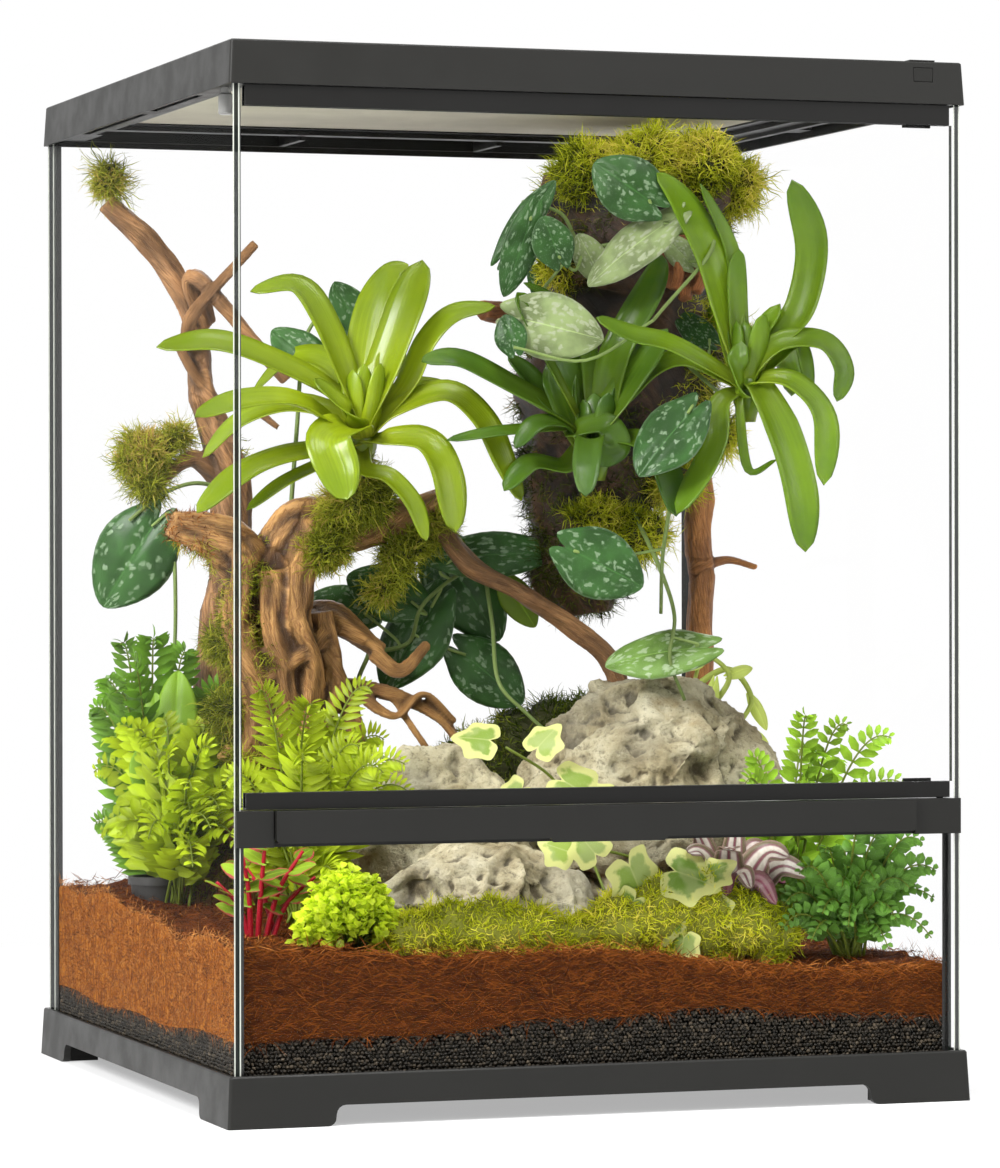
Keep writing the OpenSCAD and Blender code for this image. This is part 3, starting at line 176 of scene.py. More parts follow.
def look():
    """The camera stands a little left of the door and looks level at the tank's middle."""
    scene = bpy.context.scene
    yaw, pitch, roll = math.radians(18.704), math.radians(-0.3244), math.radians(-0.0815)
    ahead = Vector((math.sin(yaw) * math.cos(pitch), math.cos(yaw) * math.cos(pitch), math.sin(pitch)))
    right = ahead.cross(Vector((0, 0, 1))).normalized()
    up = right.cross(ahead)
    right, up = (right * math.cos(roll) + up * math.sin(roll), up * math.cos(roll) - right * math.sin(roll))
    data = bpy.data.cameras.new("camera")
    camera = bpy.data.objects.new("camera", data)
    scene.collection.objects.link(camera)
    data.sensor_width = 36
    # Focal length in pixels over the picture's height
    data.lens = 36 * 4878.67 / 1168
    data.clip_start = 0.05
    data.clip_end = 60
    pose = Matrix.Identity(4)
    for i in range(3):
        pose[i][0], pose[i][1], pose[i][2] = right[i], up[i], -ahead[i]
    pose.translation = Vector((-0.9706, -2.8996, 0.3256))
    camera.matrix_world = pose
    scene.camera = camera


def area_light(name, place, side, power):
    """A square lamp that looks at the middle of the tank."""
    data = bpy.data.lights.new(name, "AREA")
    data.shape = "RECTANGLE"
    data.size = data.size_y = side
    data.energy = power
    lamp = bpy.data.objects.new(name, data)
    bpy.context.scene.collection.objects.link(lamp)
    lamp.location = place
    lamp.rotation_euler = (Vector((0, 0, 0.3)) - Vector(place)).to_track_quat("-Z", "Y").to_euler()


def seen(g):
    """1 for a ray that shows the surroundings, and 0 for one that only carries their light."""
    path = g.add("LightPath").outputs
    through = g.math("MAXIMUM", path["Is Camera Ray"], path["Is Transmission Ray"])
    return g.math("MAXIMUM", through, path["Is Glossy Ray"])


def studio():
    """White surroundings, a large soft light above and to the left, and a pale floor."""
    scene = bpy.context.scene
    scene.view_settings.view_transform = "Standard"
    world = bpy.data.worlds.new("studio")
    scene.world = world
    world.use_nodes = True
    g = Graph(tree=world.node_tree)
    level = g.add("MapRange", Value=seen(g), To_Min=0.45, To_Max=1.0)
    back = world.node_tree.nodes["Background"]
    g.put(back.inputs["Strength"], level.outputs[0])
    g.put(back.inputs["Color"], (1, 1, 1))
    area_light("key", (-2.5, -1.3, 2.0), 1.3, 150)
    area_light("fill", (1.9, -2.2, 1.5), 1.4, 14)
    area_light("top", (0.0, -0.9, 2.1), 0.9, 38)
    area_light("rear", (0.8, 2.2, 1.6), 1.6, 26)

    # The floor glows white further out, and keeps the shadow near the tank
    g = Graph("floor")
    away = g.add("VectorMath")
    away.operation = "LENGTH"
    g.put(away.inputs[0], g.add("NewGeometry").outputs["Position"])
    far = g.add("MapRange", Value=away.outputs["Value"], From_Min=0.32, From_Max=1.1, To_Min=0.42)
    g.blend(g.times(far.outputs[0], seen(g)), g.add("BsdfDiffuse", Color=(0.9, 0.9, 0.9)),
            g.add("Emission", Color=(1, 1, 1)))
    side = 24.0
    mesh = bpy.data.meshes.new("floor")
    mesh.from_pydata([(-side, -side, 0), (side, -side, 0), (side, side, 0), (-side, side, 0)], [], [(0, 1, 2, 3)])
    mesh.materials.append(g.mat)
    floor = bpy.data.objects.new("studio_floor", mesh)
    scene.collection.objects.link(floor)


# ---------------------------------------------------------------- materials

def plastic(name, colour, rough):
    """Moulded plastic with a fine grain, and edges that catch the light."""
    g = Graph(name)
    edge = g.add("Bevel", Radius=0.0006)
    edge.samples = 4
    shade = g.mix(g.noise(9, 3), tone(colour, 0.9), tone(colour, 1.12))
    gloss = g.span(g.noise(40, 4), 0.3, 0.7, rough - 0.05, rough + 0.06)
    return g.solid(shade, gloss, g.bump(g.noise(2600, 2), 0.35, 0.00008, edge.outputs[0]), 0.24)


def clear_glass(name, thin):
    """A pane that is clear through its thin direction, and dark at its cut edges; on a side pane, pale strips along
    the edge's corners are a painted highlight.
    """
    g = Graph(name)
    coords = g.add("TexCoord").outputs
    facing = g.math("ABSOLUTE", g.split(coords["Normal"])[thin])
    edge = g.span(facing, 0.05, 0.25, 1.0, 0.0)
    behind = g.add("NewGeometry").outputs["Backfacing"]
    shine = g.times(g.add("Fresnel", IOR=1.45).outputs[0], 0.05)
    shine = g.times(shine, g.math("SUBTRACT", 1.0, behind))
    cover = g.math("MAXIMUM", shine, g.times(edge, 0.93))
    tint = g.mix(edge, (0.9, 0.93, 0.92), (0.006, 0.009, 0.007))
    if thin == 0:
        # A side pane's middle lies at x = 0.223
        off = g.math("SUBTRACT", g.math("ABSOLUTE", g.split(coords["Object"])[0]), 0.223)
        # Painted highlight: pale strips along both corners of a side pane's cut edge
        arris_highlight = g.span(g.math("ABSOLUTE", off), 0.0011, 0.0014)
        tint = g.mix(g.times(arris_highlight, edge), tint, (0.5, 0.52, 0.46))
    gloss = g.add("BsdfPrincipled", Base_Color=tint, Roughness=g.math("ADD", g.times(edge, 0.4), 0.03),
                  Specular_IOR_Level=0.15, Metallic=g.math("SUBTRACT", 1.0, edge))
    return g.blend(cover, g.add("BsdfTransparent", Color=(1, 1, 1)), gloss)


def plain(name, colour, rough, bump_scale=800, bump=0.2, vary=0.15, metallic=0.0):
    g = Graph(name)
    shade = g.mix(g.noise(30, 3), tone(colour, 1 - vary), tone(colour, 1 + vary))
    node = g.add("BsdfPrincipled", Base_Color=shade, Roughness=rough, Metallic=metallic,
                 Normal=g.bump(g.noise(bump_scale, 3), bump, 0.0002))
    g.put(g.out, node.outputs[0])
    return g.mat


def rock_stone():
    """Pale weathered stone: dark specks, painted shade in its pits, and grey and rusty patches."""
    g = Graph("pitted_rock")
    fine = g.noise(240, 6, 0.78)
    base = g.ramp(g.noise(20, 6, 0.68), (0.32, (0.24, 0.19, 0.1)), (0.43, (0.42, 0.36, 0.22)),
                  (0.54, (0.62, 0.56, 0.38)), (0.7, (0.8, 0.75, 0.56)))
    shade = g.mix(g.span(fine, 0.34, 0.5), g.mix(0.6, base, (0.1, 0.08, 0.05)), base)
    # Painted shade: darker the deeper a point lies in a hollow
    shade = g.mix(g.times(g.span(g.pit(), 0.15, 1.7), 0.88), shade, (0.075, 0.058, 0.035))
    shade = g.mix(g.span(g.noise(11, 3), 0.52, 0.66, 0.0, 0.55), shade, (0.3, 0.28, 0.22))
    shade = g.mix(g.span(g.noise(19, 4), 0.58, 0.68, 0.0, 0.6), shade, (0.36, 0.24, 0.1))
    height = g.math("ADD", fine, g.times(g.noise(620, 3), 0.5))
    return g.solid(shade, 0.88, g.bump(height, 1.0, 0.0026), 0.12)


def driftwood(name, pale, mid, dark):
    """Wood with streaks along its grain, painted shade in its hollows and a painted highlight on its ridges."""
    g = Graph(name)
    streak = g.noise(1.0, 6, 0.62, g.join(g.field("grain")), (9.0, 70.0, 1.0), 0.4)
    base = g.ramp(streak, (0.25, dark), (0.4, mid), (0.56, pale), (0.76, tone(pale, 1.3)))
    shade = g.mix(g.span(g.noise(34, 4), 0.38, 0.6, 0.0, 0.8), base, g.mix(0.62, base, dark))
    pit = g.pit()
    # Painted shade in the hollows, then a painted highlight on the ridges
    shade = g.mix(g.times(g.span(pit, -0.8, 0.9), 0.9), shade, tone(dark, 0.4))
    shade = g.mix(g.span(pit, -0.7, -2.2, 0.0, 0.55), shade, tone(pale, 1.35))
    height = g.math("ADD", streak, g.times(g.noise(420, 4), 0.35))
    return g.solid(shade, 0.5, g.bump(height, 0.85, 0.0016), 0.32)


def strand_mat(name, stops, through, rough=0.7):
    """Thin strands whose colour follows their tint, darker at the root."""
    g = Graph(name)
    along, _, tint = g.field()
    base = g.ramp(tint, *stops)
    shade = g.mix(g.span(along, 0.0, 0.4), g.mix(0.6, base, (0.012, 0.012, 0.004)), base)
    return g.leafy(shade, rough, g.bump(g.noise(900, 2), 0.2, 0.0002), through, 0.05)


def strap_mat(name, heart, mid, tip):
    """A strap leaf: fine lengthways veins, a pale heart and a deeper tip."""
    g = Graph(name)
    leaf = g.field()
    base = g.ramp(leaf[0], (0.0, heart), (0.3, mid), (0.85, tip), (1.0, tone(tip, 0.9)))
    veins = g.noise(1.0, 2, 0.5, g.join(g.times(leaf[i], k) for i, k in enumerate((1.2, 13.0, 31.0))))
    shade = g.mix(g.span(veins, 0.3, 0.7, 0.0, 0.4), base, tone(tip, 0.5))
    shade = g.mix(g.span(g.noise(26, 3), 0.4, 0.7, 0.0, 0.35), shade, tone(mid, 1.35))
    shade = g.mix(g.span(leaf[2], 0.0, 1.0, 0.0, 0.5), shade, tone(tip, 0.6))
    return g.leafy(shade, 0.24, g.bump(veins, 0.25, 0.0006), 0.36, 0.48)


def spotted_mat(name, ground, spots, share=0.5, rough=0.3, through=0.12):
    """A dark leaf with pale silvery flecks, and a thin pale rim."""
    g = Graph(name)
    leaf = g.field()
    place = g.join(g.times(leaf[i], k) for i, k in enumerate((13.0, 5.5, 90.0)))
    warp = g.add("VectorMath")
    warp.operation = "MULTIPLY_ADD"
    for socket, value in zip(warp.inputs, (g.add("TexNoise", Scale=1.1, Vector=place).outputs["Color"],
                                           (1.6, 1.6, 0.0), place)):
        g.put(socket, value)
    flecks = g.add("TexVoronoi", Scale=1.0, Vector=warp.outputs[0]).outputs
    dots = g.span(flecks["Distance"], 0.04 + 0.42 * share, 0.3 + 0.42 * share, 1.0, 0.0)
    some = g.add("SeparateColor", Color=flecks["Color"]).outputs[0]
    dots = g.times(dots, g.span(some, 0.3, 0.42))
    across = g.math("ABSOLUTE", leaf[1])
    base = g.mix(g.span(g.noise(50, 3), 0.35, 0.65), tone(ground, 0.75), tone(ground, 1.3))
    shade = g.mix(g.times(dots, 0.85), base, spots)
    shade = g.mix(g.span(across, 0.0, 0.035, 0.6, 0.0), shade, tone(ground, 2.2))
    shade = g.mix(g.span(across, 0.93, 1.0, 0.0, 0.5), shade, spots)
    return g.leafy(shade, rough, g.bump(dots, 0.3, 0.0005), through, 0.2)


def veined_mat(name, ground, edge=None, rim=0.0, through=0.3, foot_shade=0.0):
    """A small leaf with a paler rib, its own tint and perhaps a rim; its last argument darkens its foot as painted
    shade.
    """
    g = Graph(name)
    along, side, tint = g.field()
    across = g.math("ABSOLUTE", side)
    blotch = g.noise(120, 3)
    base = g.mix(tint, tone(ground, 0.42), tone(ground, 1.4))
    shade = g.mix(g.span(across, 0.0, 0.1, 0.4, 0.0), base, tone(ground, 1.7))
    if rim:
        wavy = g.math("ADD", across, g.times(blotch, 0.5))
        shade = g.mix(g.span(wavy, 1.0 - rim, 1.12 - rim), shade, edge)
    if foot_shade:
        # Painted shade at the foot of each leaf, where it meets the stem; then darker patches at random
        shade = g.mix(g.span(along, 0.0, 0.6, foot_shade, 0.0), shade, tone(ground, 0.2))
        shade = g.mix(g.span(g.noise(32, 3), 0.45, 0.62, 0.0, 0.4), shade, tone(ground, 0.4))
    return g.leafy(shade, 0.4, g.bump(blotch, 0.3, 0.0005), through, 0.22)


def coir_mat():
    """Matted fibre: the front face painted darker as painted shade, the left face painted lighter and orange as
    painted light, and pale fibres on top.
    """
    g = Graph("coir_fibre_mass")
    fibres = g.noise(330, 6, 0.7, None, (0.35, 0.35, 1.6), 1.2)
    base = g.ramp(fibres, (0.28, (0.014, 0.004, 0.0015)), (0.45, (0.075, 0.018, 0.0035)),
                  (0.62, (0.2, 0.052, 0.008)), (0.8, (0.36, 0.12, 0.02)))
    shade = g.mix(g.span(g.noise(40, 3), 0.35, 0.7, 0.0, 0.4), base, (0.05, 0.015, 0.005))
    normal = g.split(g.add("TexCoord").outputs["Normal"])
    lit_side_ramp = g.ramp(g.noise(260, 5, 0.75, None, (1.0, 2.2, 0.3), 0.8), (0.3, (0.06, 0.012, 0.002)),
                 (0.42, (0.24, 0.06, 0.006)), (0.54, (0.5, 0.16, 0.01)), (0.68, (0.8, 0.33, 0.04)))
    # Painted light on the left face, and painted shade on the front face
    shade = g.mix(g.span(normal[0], -0.3, -0.8, 0.0, 0.8), shade, lit_side_ramp)
    shade = g.mix(g.span(normal[1], -0.3, -0.8, 0.0, 0.5), shade, (0.03, 0.009, 0.003))
    return g.solid(shade, 0.9, g.bump(fibres, 1.0, 0.003), 0.08)


def bead_mat():
    g = Graph("drainage_pellets")
    base = g.ramp(g.field()[2], (0.0, (0.01, 0.008, 0.005)), (0.6, (0.026, 0.02, 0.013)), (1.0, (0.07, 0.054, 0.035)))
    return g.solid(base, 0.55, g.bump(g.noise(1500, 3), 0.5, 0.0002), 0.2)


def ivy_mat():
    """Green in the middle of the leaf, and an uneven cream margin."""
    g = Graph("ivy_leaf")
    side, out, tint = g.field()
    blotch = g.noise(130, 4)
    base = g.mix(tint, (0.13, 0.26, 0.03), (0.34, 0.46, 0.09))
    base = g.mix(g.span(g.noise(60, 2), 0.45, 0.6, 0.0, 0.6), base, (0.42, 0.5, 0.2))
    wavy = g.math("ADD", out, g.times(blotch, 0.8))
    shade = g.mix(g.span(wavy, 0.98, 1.16), base, (0.68, 0.7, 0.26))
    shade = g.mix(g.span(g.math("ABSOLUTE", side), 0.0, 0.025, 0.5, 0.0), shade, (0.55, 0.6, 0.25))
    return g.leafy(shade, 0.4, g.bump(blotch, 0.3, 0.0005), 0.35, 0.2)


def striped_leaf():
    """Silver bands between a dark rib and dark margins; a young leaf is plum."""
    g = Graph("striped_leaf")
    _, side, tint = g.field()
    across = g.math("ABSOLUTE", side)
    base = g.ramp(across, (0.0, (0.2, 0.04, 0.08)), (0.1, (0.22, 0.14, 0.12)), (0.18, (0.6, 0.56, 0.48)),
                  (0.48, (0.7, 0.64, 0.56)), (0.6, (0.24, 0.1, 0.12)), (0.8, (0.12, 0.11, 0.05)),
                  (1.0, (0.3, 0.2, 0.16)))
    young = g.ramp(across, (0.0, (0.3, 0.05, 0.1)), (0.4, (0.34, 0.12, 0.17)), (1.0, (0.12, 0.02, 0.04)))
    grain = g.noise(300, 3)
    shade = g.mix(g.span(grain, 0.4, 0.7, 0.0, 0.3), g.mix(g.span(tint, 0.45, 0.9), base, young), (0.2, 0.16, 0.1))
    return g.leafy(shade, 0.32, g.bump(grain, 0.3, 0.0004), 0.15, 0.2)


# ---------------------------------------------------------------- shape helpers, in millimetres

class Heap:
    """The vertices and faces of one piece, with an along, across and tint at each vertex."""

    def __init__(self):
        self.v, self.f, self.d, self.n = [], [], [], 0

    def add(self, verts, faces, data):
        self.v.append(np.asarray(verts, float))
        self.d.append(np.asarray(data, float))
        self.f.extend(tuple(i + self.n for i in face) for face in faces)
        self.n += len(verts)

    def clip(self):
        """Keeps every point within the glass."""
        for part in self.v:
            inside(part)

    def make(self, name, mat, nodes=(), body="case", slot=None, flat=False):
        mesh = bpy.data.meshes.new(name)
        verts = np.concatenate(self.v) * MM
        mesh.from_pydata(verts.tolist(), [], self.f)
        layer = mesh.attributes.new("leaf", "FLOAT_VECTOR", "POINT")
        layer.data.foreach_set("vector", np.concatenate(self.d).astype(np.float32).ravel())
        mesh.materials.append(mat)
        if not flat:
            mesh.shade_smooth()
        mesh.update()
        return place(bpy.data.objects.new(name, mesh), nodes, body, slot)


def place(obj, nodes=(), body="case", slot=None):
    bpy.context.scene.collection.objects.link(obj)
    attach(obj, body)
    if nodes:
        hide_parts(*nodes)
    return obj


def unit(a):
    a = np.asarray(a, float)
    return a / np.maximum(np.linalg.norm(a, axis=-1, keepdims=True), 1e-9)


def curve(points, steps):
    """A smooth curve through points, each with any number of values."""
    p = np.asarray(points, float)
    q = np.vstack([2 * p[0] - p[1], p, 2 * p[-1] - p[-2]])
    out = []
    for i in range(1, len(q) - 2):
        a, b, c, d = q[i - 1], q[i], q[i + 1], q[i + 2]
        for k in range(steps):
            s = k / steps
            out.append(0.5 * (2 * b + (c - a) * s + (2 * a - 5 * b + 4 * c - d) * s * s
                              + (3 * b - a - 3 * c + d) * s ** 3))
    out.append(p[-1])
    return np.array(out)


def run_along(p):
    """The distance from the start of a path to each of its points."""
    return np.concatenate([[0], np.cumsum(np.linalg.norm(np.diff(p, axis=0), axis=1))])


def add_many(heap, verts, at, tint, faces):
    """Adds n equal shapes: (n, m, 3) corners, m places on the leaf, n tints, and the faces of one."""
    n, m = verts.shape[:2]
    data = np.concatenate([np.tile(np.array(at, float), (n, 1, 1)),
                           np.repeat(np.asarray(tint, float)[:, None, None], m, 1)], axis=2)
    heap.add(verts.reshape(-1, 3), [tuple(m * i + v for v in face) for i in range(n) for face in faces],
             data.reshape(-1, 3))


def leaf_frame(stalk, tip, facing):
    """A leaf's start, its length, and its directions along, across and up."""
    stalk, tip = np.asarray(stalk, float), np.asarray(tip, float)
    d = unit(tip - stalk)
    a = unit(np.cross(d, facing))
    return stalk, np.linalg.norm(tip - stalk), d, a, np.cross(a, d)


def seen_at(angle):
    """The direction at an angle from the right, as seen from the camera's side."""
    a = math.radians(angle)
    return RIGHT_OF_VIEW * math.cos(a) + UP * math.sin(a)


def lumps(p, size, seed=0, octaves=3):
    """Smooth noise from about -1 to 1 at points p, in cells of size millimetres."""
    total, weight, amp = np.zeros(len(p)), 0.0, 1.0
    q = np.asarray(p, float) / size
    for o in range(octaves):
        cell = np.floor(q).astype(np.int64)
        f = q - cell
        f = f * f * (3 - 2 * f)
        acc = np.zeros(len(p))
        for dx in (0, 1):
            for dy in (0, 1):
                for dz in (0, 1):
                    h = (cell[:, 0] + dx) * 374761393 + (cell[:, 1] + dy) * 668265263 + (cell[:, 2] + dz) * 1013904223
                    h = (h + (seed + 7 * o) * 97464547) & 0xFFFFFFFF
                    h = ((h ^ (h >> 13)) * 1274126177) & 0xFFFFFFFF
                    h = ((h ^ (h >> 16)) & 0xFFFF) / 32767.5 - 1
                    w = ((f[:, 0] if dx else 1 - f[:, 0]) * (f[:, 1] if dy else 1 - f[:, 1])
                         * (f[:, 2] if dz else 1 - f[:, 2]))
                    acc += h * w
        total += acc * amp
        weight += amp
        amp *= 0.5
        q = q * 2.03 + 11.7
    return total / weight


def grid_faces(rows, cols, ring=False):
    faces = []
    for i in range(rows - 1):
        for k in range(cols if ring else cols - 1):
            a, b = i * cols + k, i * cols + (k + 1) % cols
            faces.append((a, b, b + cols, a + cols))
    return faces


def tube(heap, points, radii, sides=8, tint=0.5, flute=0.0, seed=0):
    """A closed tube; flute gives it lengthways ridges that wind round it."""
    p = np.asarray(points, float)
    t = unit(np.gradient(p, axis=0))
    n = np.array([0.31, 0.8, 0.51])
    frames = []
    for d in t:
        n = unit(n - n.dot(d) * d)
        frames.append(n)
    n = np.array(frames)
    b = np.cross(t, n)
    run = run_along(p)
    ang = np.linspace(0, 2 * np.pi, sides, endpoint=False)
    verts, data = [], []
    for i in range(len(p)):
        r = radii[i] * (1 + flute * (0.55 * np.sin(2 * ang + run[i] * 0.035 + seed)
                                     + 0.35 * np.sin(5 * ang - run[i] * 0.05 + 2 * seed)
                                     + 0.3 * np.sin(3 * ang + run[i] * 0.11 + seed * 3)))
        ring = p[i] + np.outer(r * np.cos(ang), n[i]) + np.outer(r * np.sin(ang), b[i])
        verts.append(ring)
        data.append(np.column_stack([np.full(sides, run[i] / run[-1]),
                                     ang / (2 * np.pi), np.full(sides, tint)]))
    verts = np.vstack(verts)
    faces = [(*face[1:], face[0]) for face in grid_faces(len(p), sides, True)]
    heap.add(verts, faces + [tuple(range(sides))[::-1], tuple(range((len(p) - 1) * sides, len(p) * sides))],
             np.vstack(data))


def strap(heap, points, width, facing, tint, channel, base, sharp, steps=7, cols=7):
    """A strap leaf along points; facing is about where its upper side looks."""
    p = curve(points, steps)
    n = len(p)
    run = run_along(p)
    t = run / run[-1]
    d = unit(np.gradient(p, axis=0))
    face = np.asarray(facing, float)
    if face.ndim == 1:
        face = np.tile(face, (n, 1))
    a = unit(np.cross(d, face))
    m = np.cross(a, d)
    w = width / 2 * (base + (1 - base) * np.clip(t / 0.35, 0, 1)) * np.where(
        t > 1 - sharp, np.sqrt(np.clip(1 - ((t - 1 + sharp) / sharp) ** 2, 0, 1)) * 0.94 + 0.06 * (1 - t) / sharp, 1)
    s = np.linspace(-1, 1, cols)
    deep = channel * (1.5 - 1.1 * t)
    verts = (p[:, None, :] + a[:, None, :] * (w[:, None] * s)[:, :, None]
             + m[:, None, :] * ((w * deep)[:, None] * (s ** 2 - 0.35))[:, :, None])
    data = np.stack([np.repeat(t[:, None], cols, 1), np.tile(s, (n, 1)), np.full((n, cols), tint)], axis=2)
    heap.add(verts.reshape(-1, 3), [f[::-1] for f in grid_faces(n, cols)], data.reshape(-1, 3))


def heart(heap, stalk, tip, facing, width, tint, dome=0.1, rows=14, cols=13):
    """A heart-shaped leaf between its stalk and its tip, with two lobes, a soft dome and a sunken rib."""
    stalk, length, d, a, m = leaf_frame(stalk, tip, facing)
    t = (1 - np.cos(np.linspace(0, np.pi, rows))) / 2
    s = np.linspace(-1, 1, cols)
    s = np.sign(s) * np.abs(s) ** 1.15
    t, s = np.meshgrid(t, s, indexing="ij")
    w = np.sin(np.pi * np.clip(0.13 + 0.87 * t, 0, 1)) ** 0.62 * (1 - 0.12 * t)
    x = length * (t - 0.17 * (1 - t) ** 3 * np.sin(np.pi * np.abs(s) ** 0.8))
    y = width / 2 * w * s * 1.06
    z = (-0.035 * width * np.exp(-(s * w / 0.1) ** 2) - dome * length * (1.8 * (t - 0.4) ** 2)
         - dome * width * 0.9 * (s * w) ** 2 + 0.02 * length * np.sin(t * 9 + tint * 40) * np.abs(s) * w)
    verts = stalk + x[..., None] * d + y[..., None] * a + z[..., None] * m
    data = np.stack([t, s, np.full(t.shape, tint)], axis=2)
    heap.add(verts.reshape(-1, 3), [f[::-1] for f in grid_faces(rows, cols)], data.reshape(-1, 3))


def blades(heap, root, along, face, length, width, tint, bend, blunt):
    """Many small leaves at once, each a folded blade; blunt rounds their ends. All inputs are arrays."""
    n = len(root)
    d = unit(along)
    a = unit(np.cross(d, face))
    m = np.cross(a, d)
    length = np.broadcast_to(np.asarray(length, float), n)[:, None]
    width = np.broadcast_to(np.asarray(width, float), n)[:, None]
    rows = []
    for t, w, z in ((0.0, 0.12, 0.0), (0.34, 1.0, bend * 0.35), (0.74, 0.55 + 0.4 * blunt, bend * 0.2),
                    (1.0, 0.0, -bend * 0.3)):
        centre = root + d * length * t + m * length * z * 0.5
        rows.append((centre, a * width * w * 0.5, m * width * w * 0.22))
    base, low, high, tip = rows
    verts = np.stack([base[0], low[0] - low[1] + low[2], low[0], low[0] + low[1] + low[2],
                      high[0] - high[1] + high[2], high[0], high[0] + high[1] + high[2], tip[0]], axis=1)
    at = [[0.0, 0], [0.34, -1], [0.34, 0], [0.34, 1], [0.74, -0.8], [0.74, 0], [0.74, 0.8], [1.0, 0]]
    add_many(heap, verts, at, tint, [(0, 2, 1), (0, 3, 2), (1, 2, 5, 4), (2, 3, 6, 5), (4, 5, 7), (5, 6, 7)])


def strands(heap, root, along, side, length, width, tint, droop):
    """Many fine strands at once, each a tapered ribbon that bends over."""
    n = len(root)
    d = unit(along)
    a = unit(np.cross(d, side))
    length = np.broadcast_to(np.asarray(length, float), n)[:, None]
    width = np.broadcast_to(np.asarray(width, float), n)[:, None] / 2
    mid = root + d * length * 0.55
    bent = unit(d + np.array([0, 0, -1.0]) * droop + a * 0.25 * np.sin(np.arange(n) * SPREAD)[:, None])
    tip = mid + bent * length * 0.45
    verts = np.stack([root - a * width, root + a * width, mid - a * width * 0.8, mid + a * width * 0.8, tip], axis=1)
    at = [[0.0, -1], [0.0, 1], [0.55, -1], [0.55, 1], [1.0, 0]]
    add_many(heap, verts, at, tint, [(0, 1, 3, 2), (2, 3, 4)])


def curls(heap, rng, root, along, length, width, tint, wander=0.5, droop=0.08, steps=4):
    """Many fine wandering strands at once, each a tapered ribbon of a few links."""
    n = len(root)
    d = unit(along)
    side = unit(np.cross(d, rng.normal(0, 1, (n, 3))))
    link = np.broadcast_to(np.asarray(length, float), n)[:, None] / steps
    width = np.broadcast_to(np.asarray(width, float), n)[:, None] / 2
    p = np.array(root, float)
    rows, at = [], []
    for k in range(steps):
        w = width * (1 - 0.55 * k / steps)
        rows += [p - side * w, p + side * w]
        at += [[k / steps, -1], [k / steps, 1]]
        p = p + d * link
        d = unit(d + rng.normal(0, wander, (n, 3)) + [0, 0, -droop])
        side = unit(side - (side * d).sum(1)[:, None] * d)
    verts = np.stack(rows + [p], axis=1)
    end = 2 * steps
    faces = [(2 * k, 2 * k + 1, 2 * k + 3, 2 * k + 2) for k in range(steps - 1)] + [(end - 2, end - 1, end)]
    add_many(heap, verts, at + [[1.0, 0]], tint, faces)


def hollows(mesh):
    """Keeps at each vertex how deep it lies below its smoothed surroundings, in millimetres."""
    p, n = points_of(mesh)
    e = np.empty(len(mesh.edges) * 2, np.int64)
    mesh.edges.foreach_get("vertices", e)
    a, b = np.concatenate([e[::2], e[1::2]]), np.concatenate([e[1::2], e[::2]])
    count = np.maximum(np.bincount(a, minlength=len(p)), 1)
    q = p.copy()
    for _ in range(12):
        near = np.stack([np.bincount(a, q[b, i], len(p)) / count for i in range(3)], axis=1)
        q = 0.3 * q + 0.7 * near
    layer = mesh.attributes.new("pit", "FLOAT", "POINT")
    layer.data.foreach_set("value", ((q - p) * n).sum(1).astype(np.float32))


def fused(heap_or_obj, voxel, smooth):
    """One closed skin round overlapping solids, in metres, as a mesh."""
    if isinstance(heap_or_obj, Heap):
        mesh = bpy.data.meshes.new("raw")
        mesh.from_pydata((np.concatenate(heap_or_obj.v) * MM).tolist(), [], heap_or_obj.f)
    else:
        mesh = heap_or_obj.data.copy()
    obj = bpy.data.objects.new("raw", mesh)
    mesh.materials.clear()
    bpy.context.scene.collection.objects.link(obj)
    mod = obj.modifiers.new("skin", "REMESH")
    mod.mode = "VOXEL"
    mod.voxel_size = voxel * MM
    soft = obj.modifiers.new("soft", "SMOOTH")
    soft.factor = 0.5
    soft.iterations = smooth
    done = bpy.data.meshes.new_from_object(obj.evaluated_get(bpy.context.evaluated_depsgraph_get()))
    bpy.data.objects.remove(obj)
    return done


def points_of(mesh):
    v = np.empty(len(mesh.vertices) * 3)
    mesh.vertices.foreach_get("co", v)
    n = np.empty(len(mesh.vertices) * 3)
    mesh.vertices.foreach_get("normal", n)
    return v.reshape(-1, 3) / MM, n.reshape(-1, 3)


def set_points(mesh, p):
    mesh.vertices.foreach_set("co", (p * MM).ravel())
    mesh.update()


def surface_samples(mesh, count, rng):
    """Points, normals spread evenly over a mesh, in millimetres."""
    mesh.calc_loop_triangles()
    tri = np.empty(len(mesh.loop_triangles) * 3, np.int64)
    mesh.loop_triangles.foreach_get("vertices", tri)
    tri = tri.reshape(-1, 3)
    v, n = points_of(mesh)
    a, b, c = v[tri[:, 0]], v[tri[:, 1]], v[tri[:, 2]]
    area = np.linalg.norm(np.cross(b - a, c - a), axis=1)
    pick = rng.choice(len(tri), count, p=area / area.sum())
    r1, r2 = np.sqrt(rng.random(count))[:, None], rng.random(count)[:, None]
    pos = (1 - r1) * a[pick] + r1 * (1 - r2) * b[pick] + r1 * r2 * c[pick]
    nrm = unit(n[tri[pick, 0]] + n[tri[pick, 1]] + n[tri[pick, 2]])
    return pos, nrm


def inside(p):
    """Keeps points within the glass."""
    p[..., 0] = np.clip(p[..., 0], -LIMIT, LIMIT)
    p[..., 1] = np.clip(p[..., 1], LIMIT_FRONT, LIMIT)
    p[..., 2] = np.clip(p[..., 2], FLOOR, LIMIT_TOP)
    return p


# ---------------------------------------------------------------- enclosure

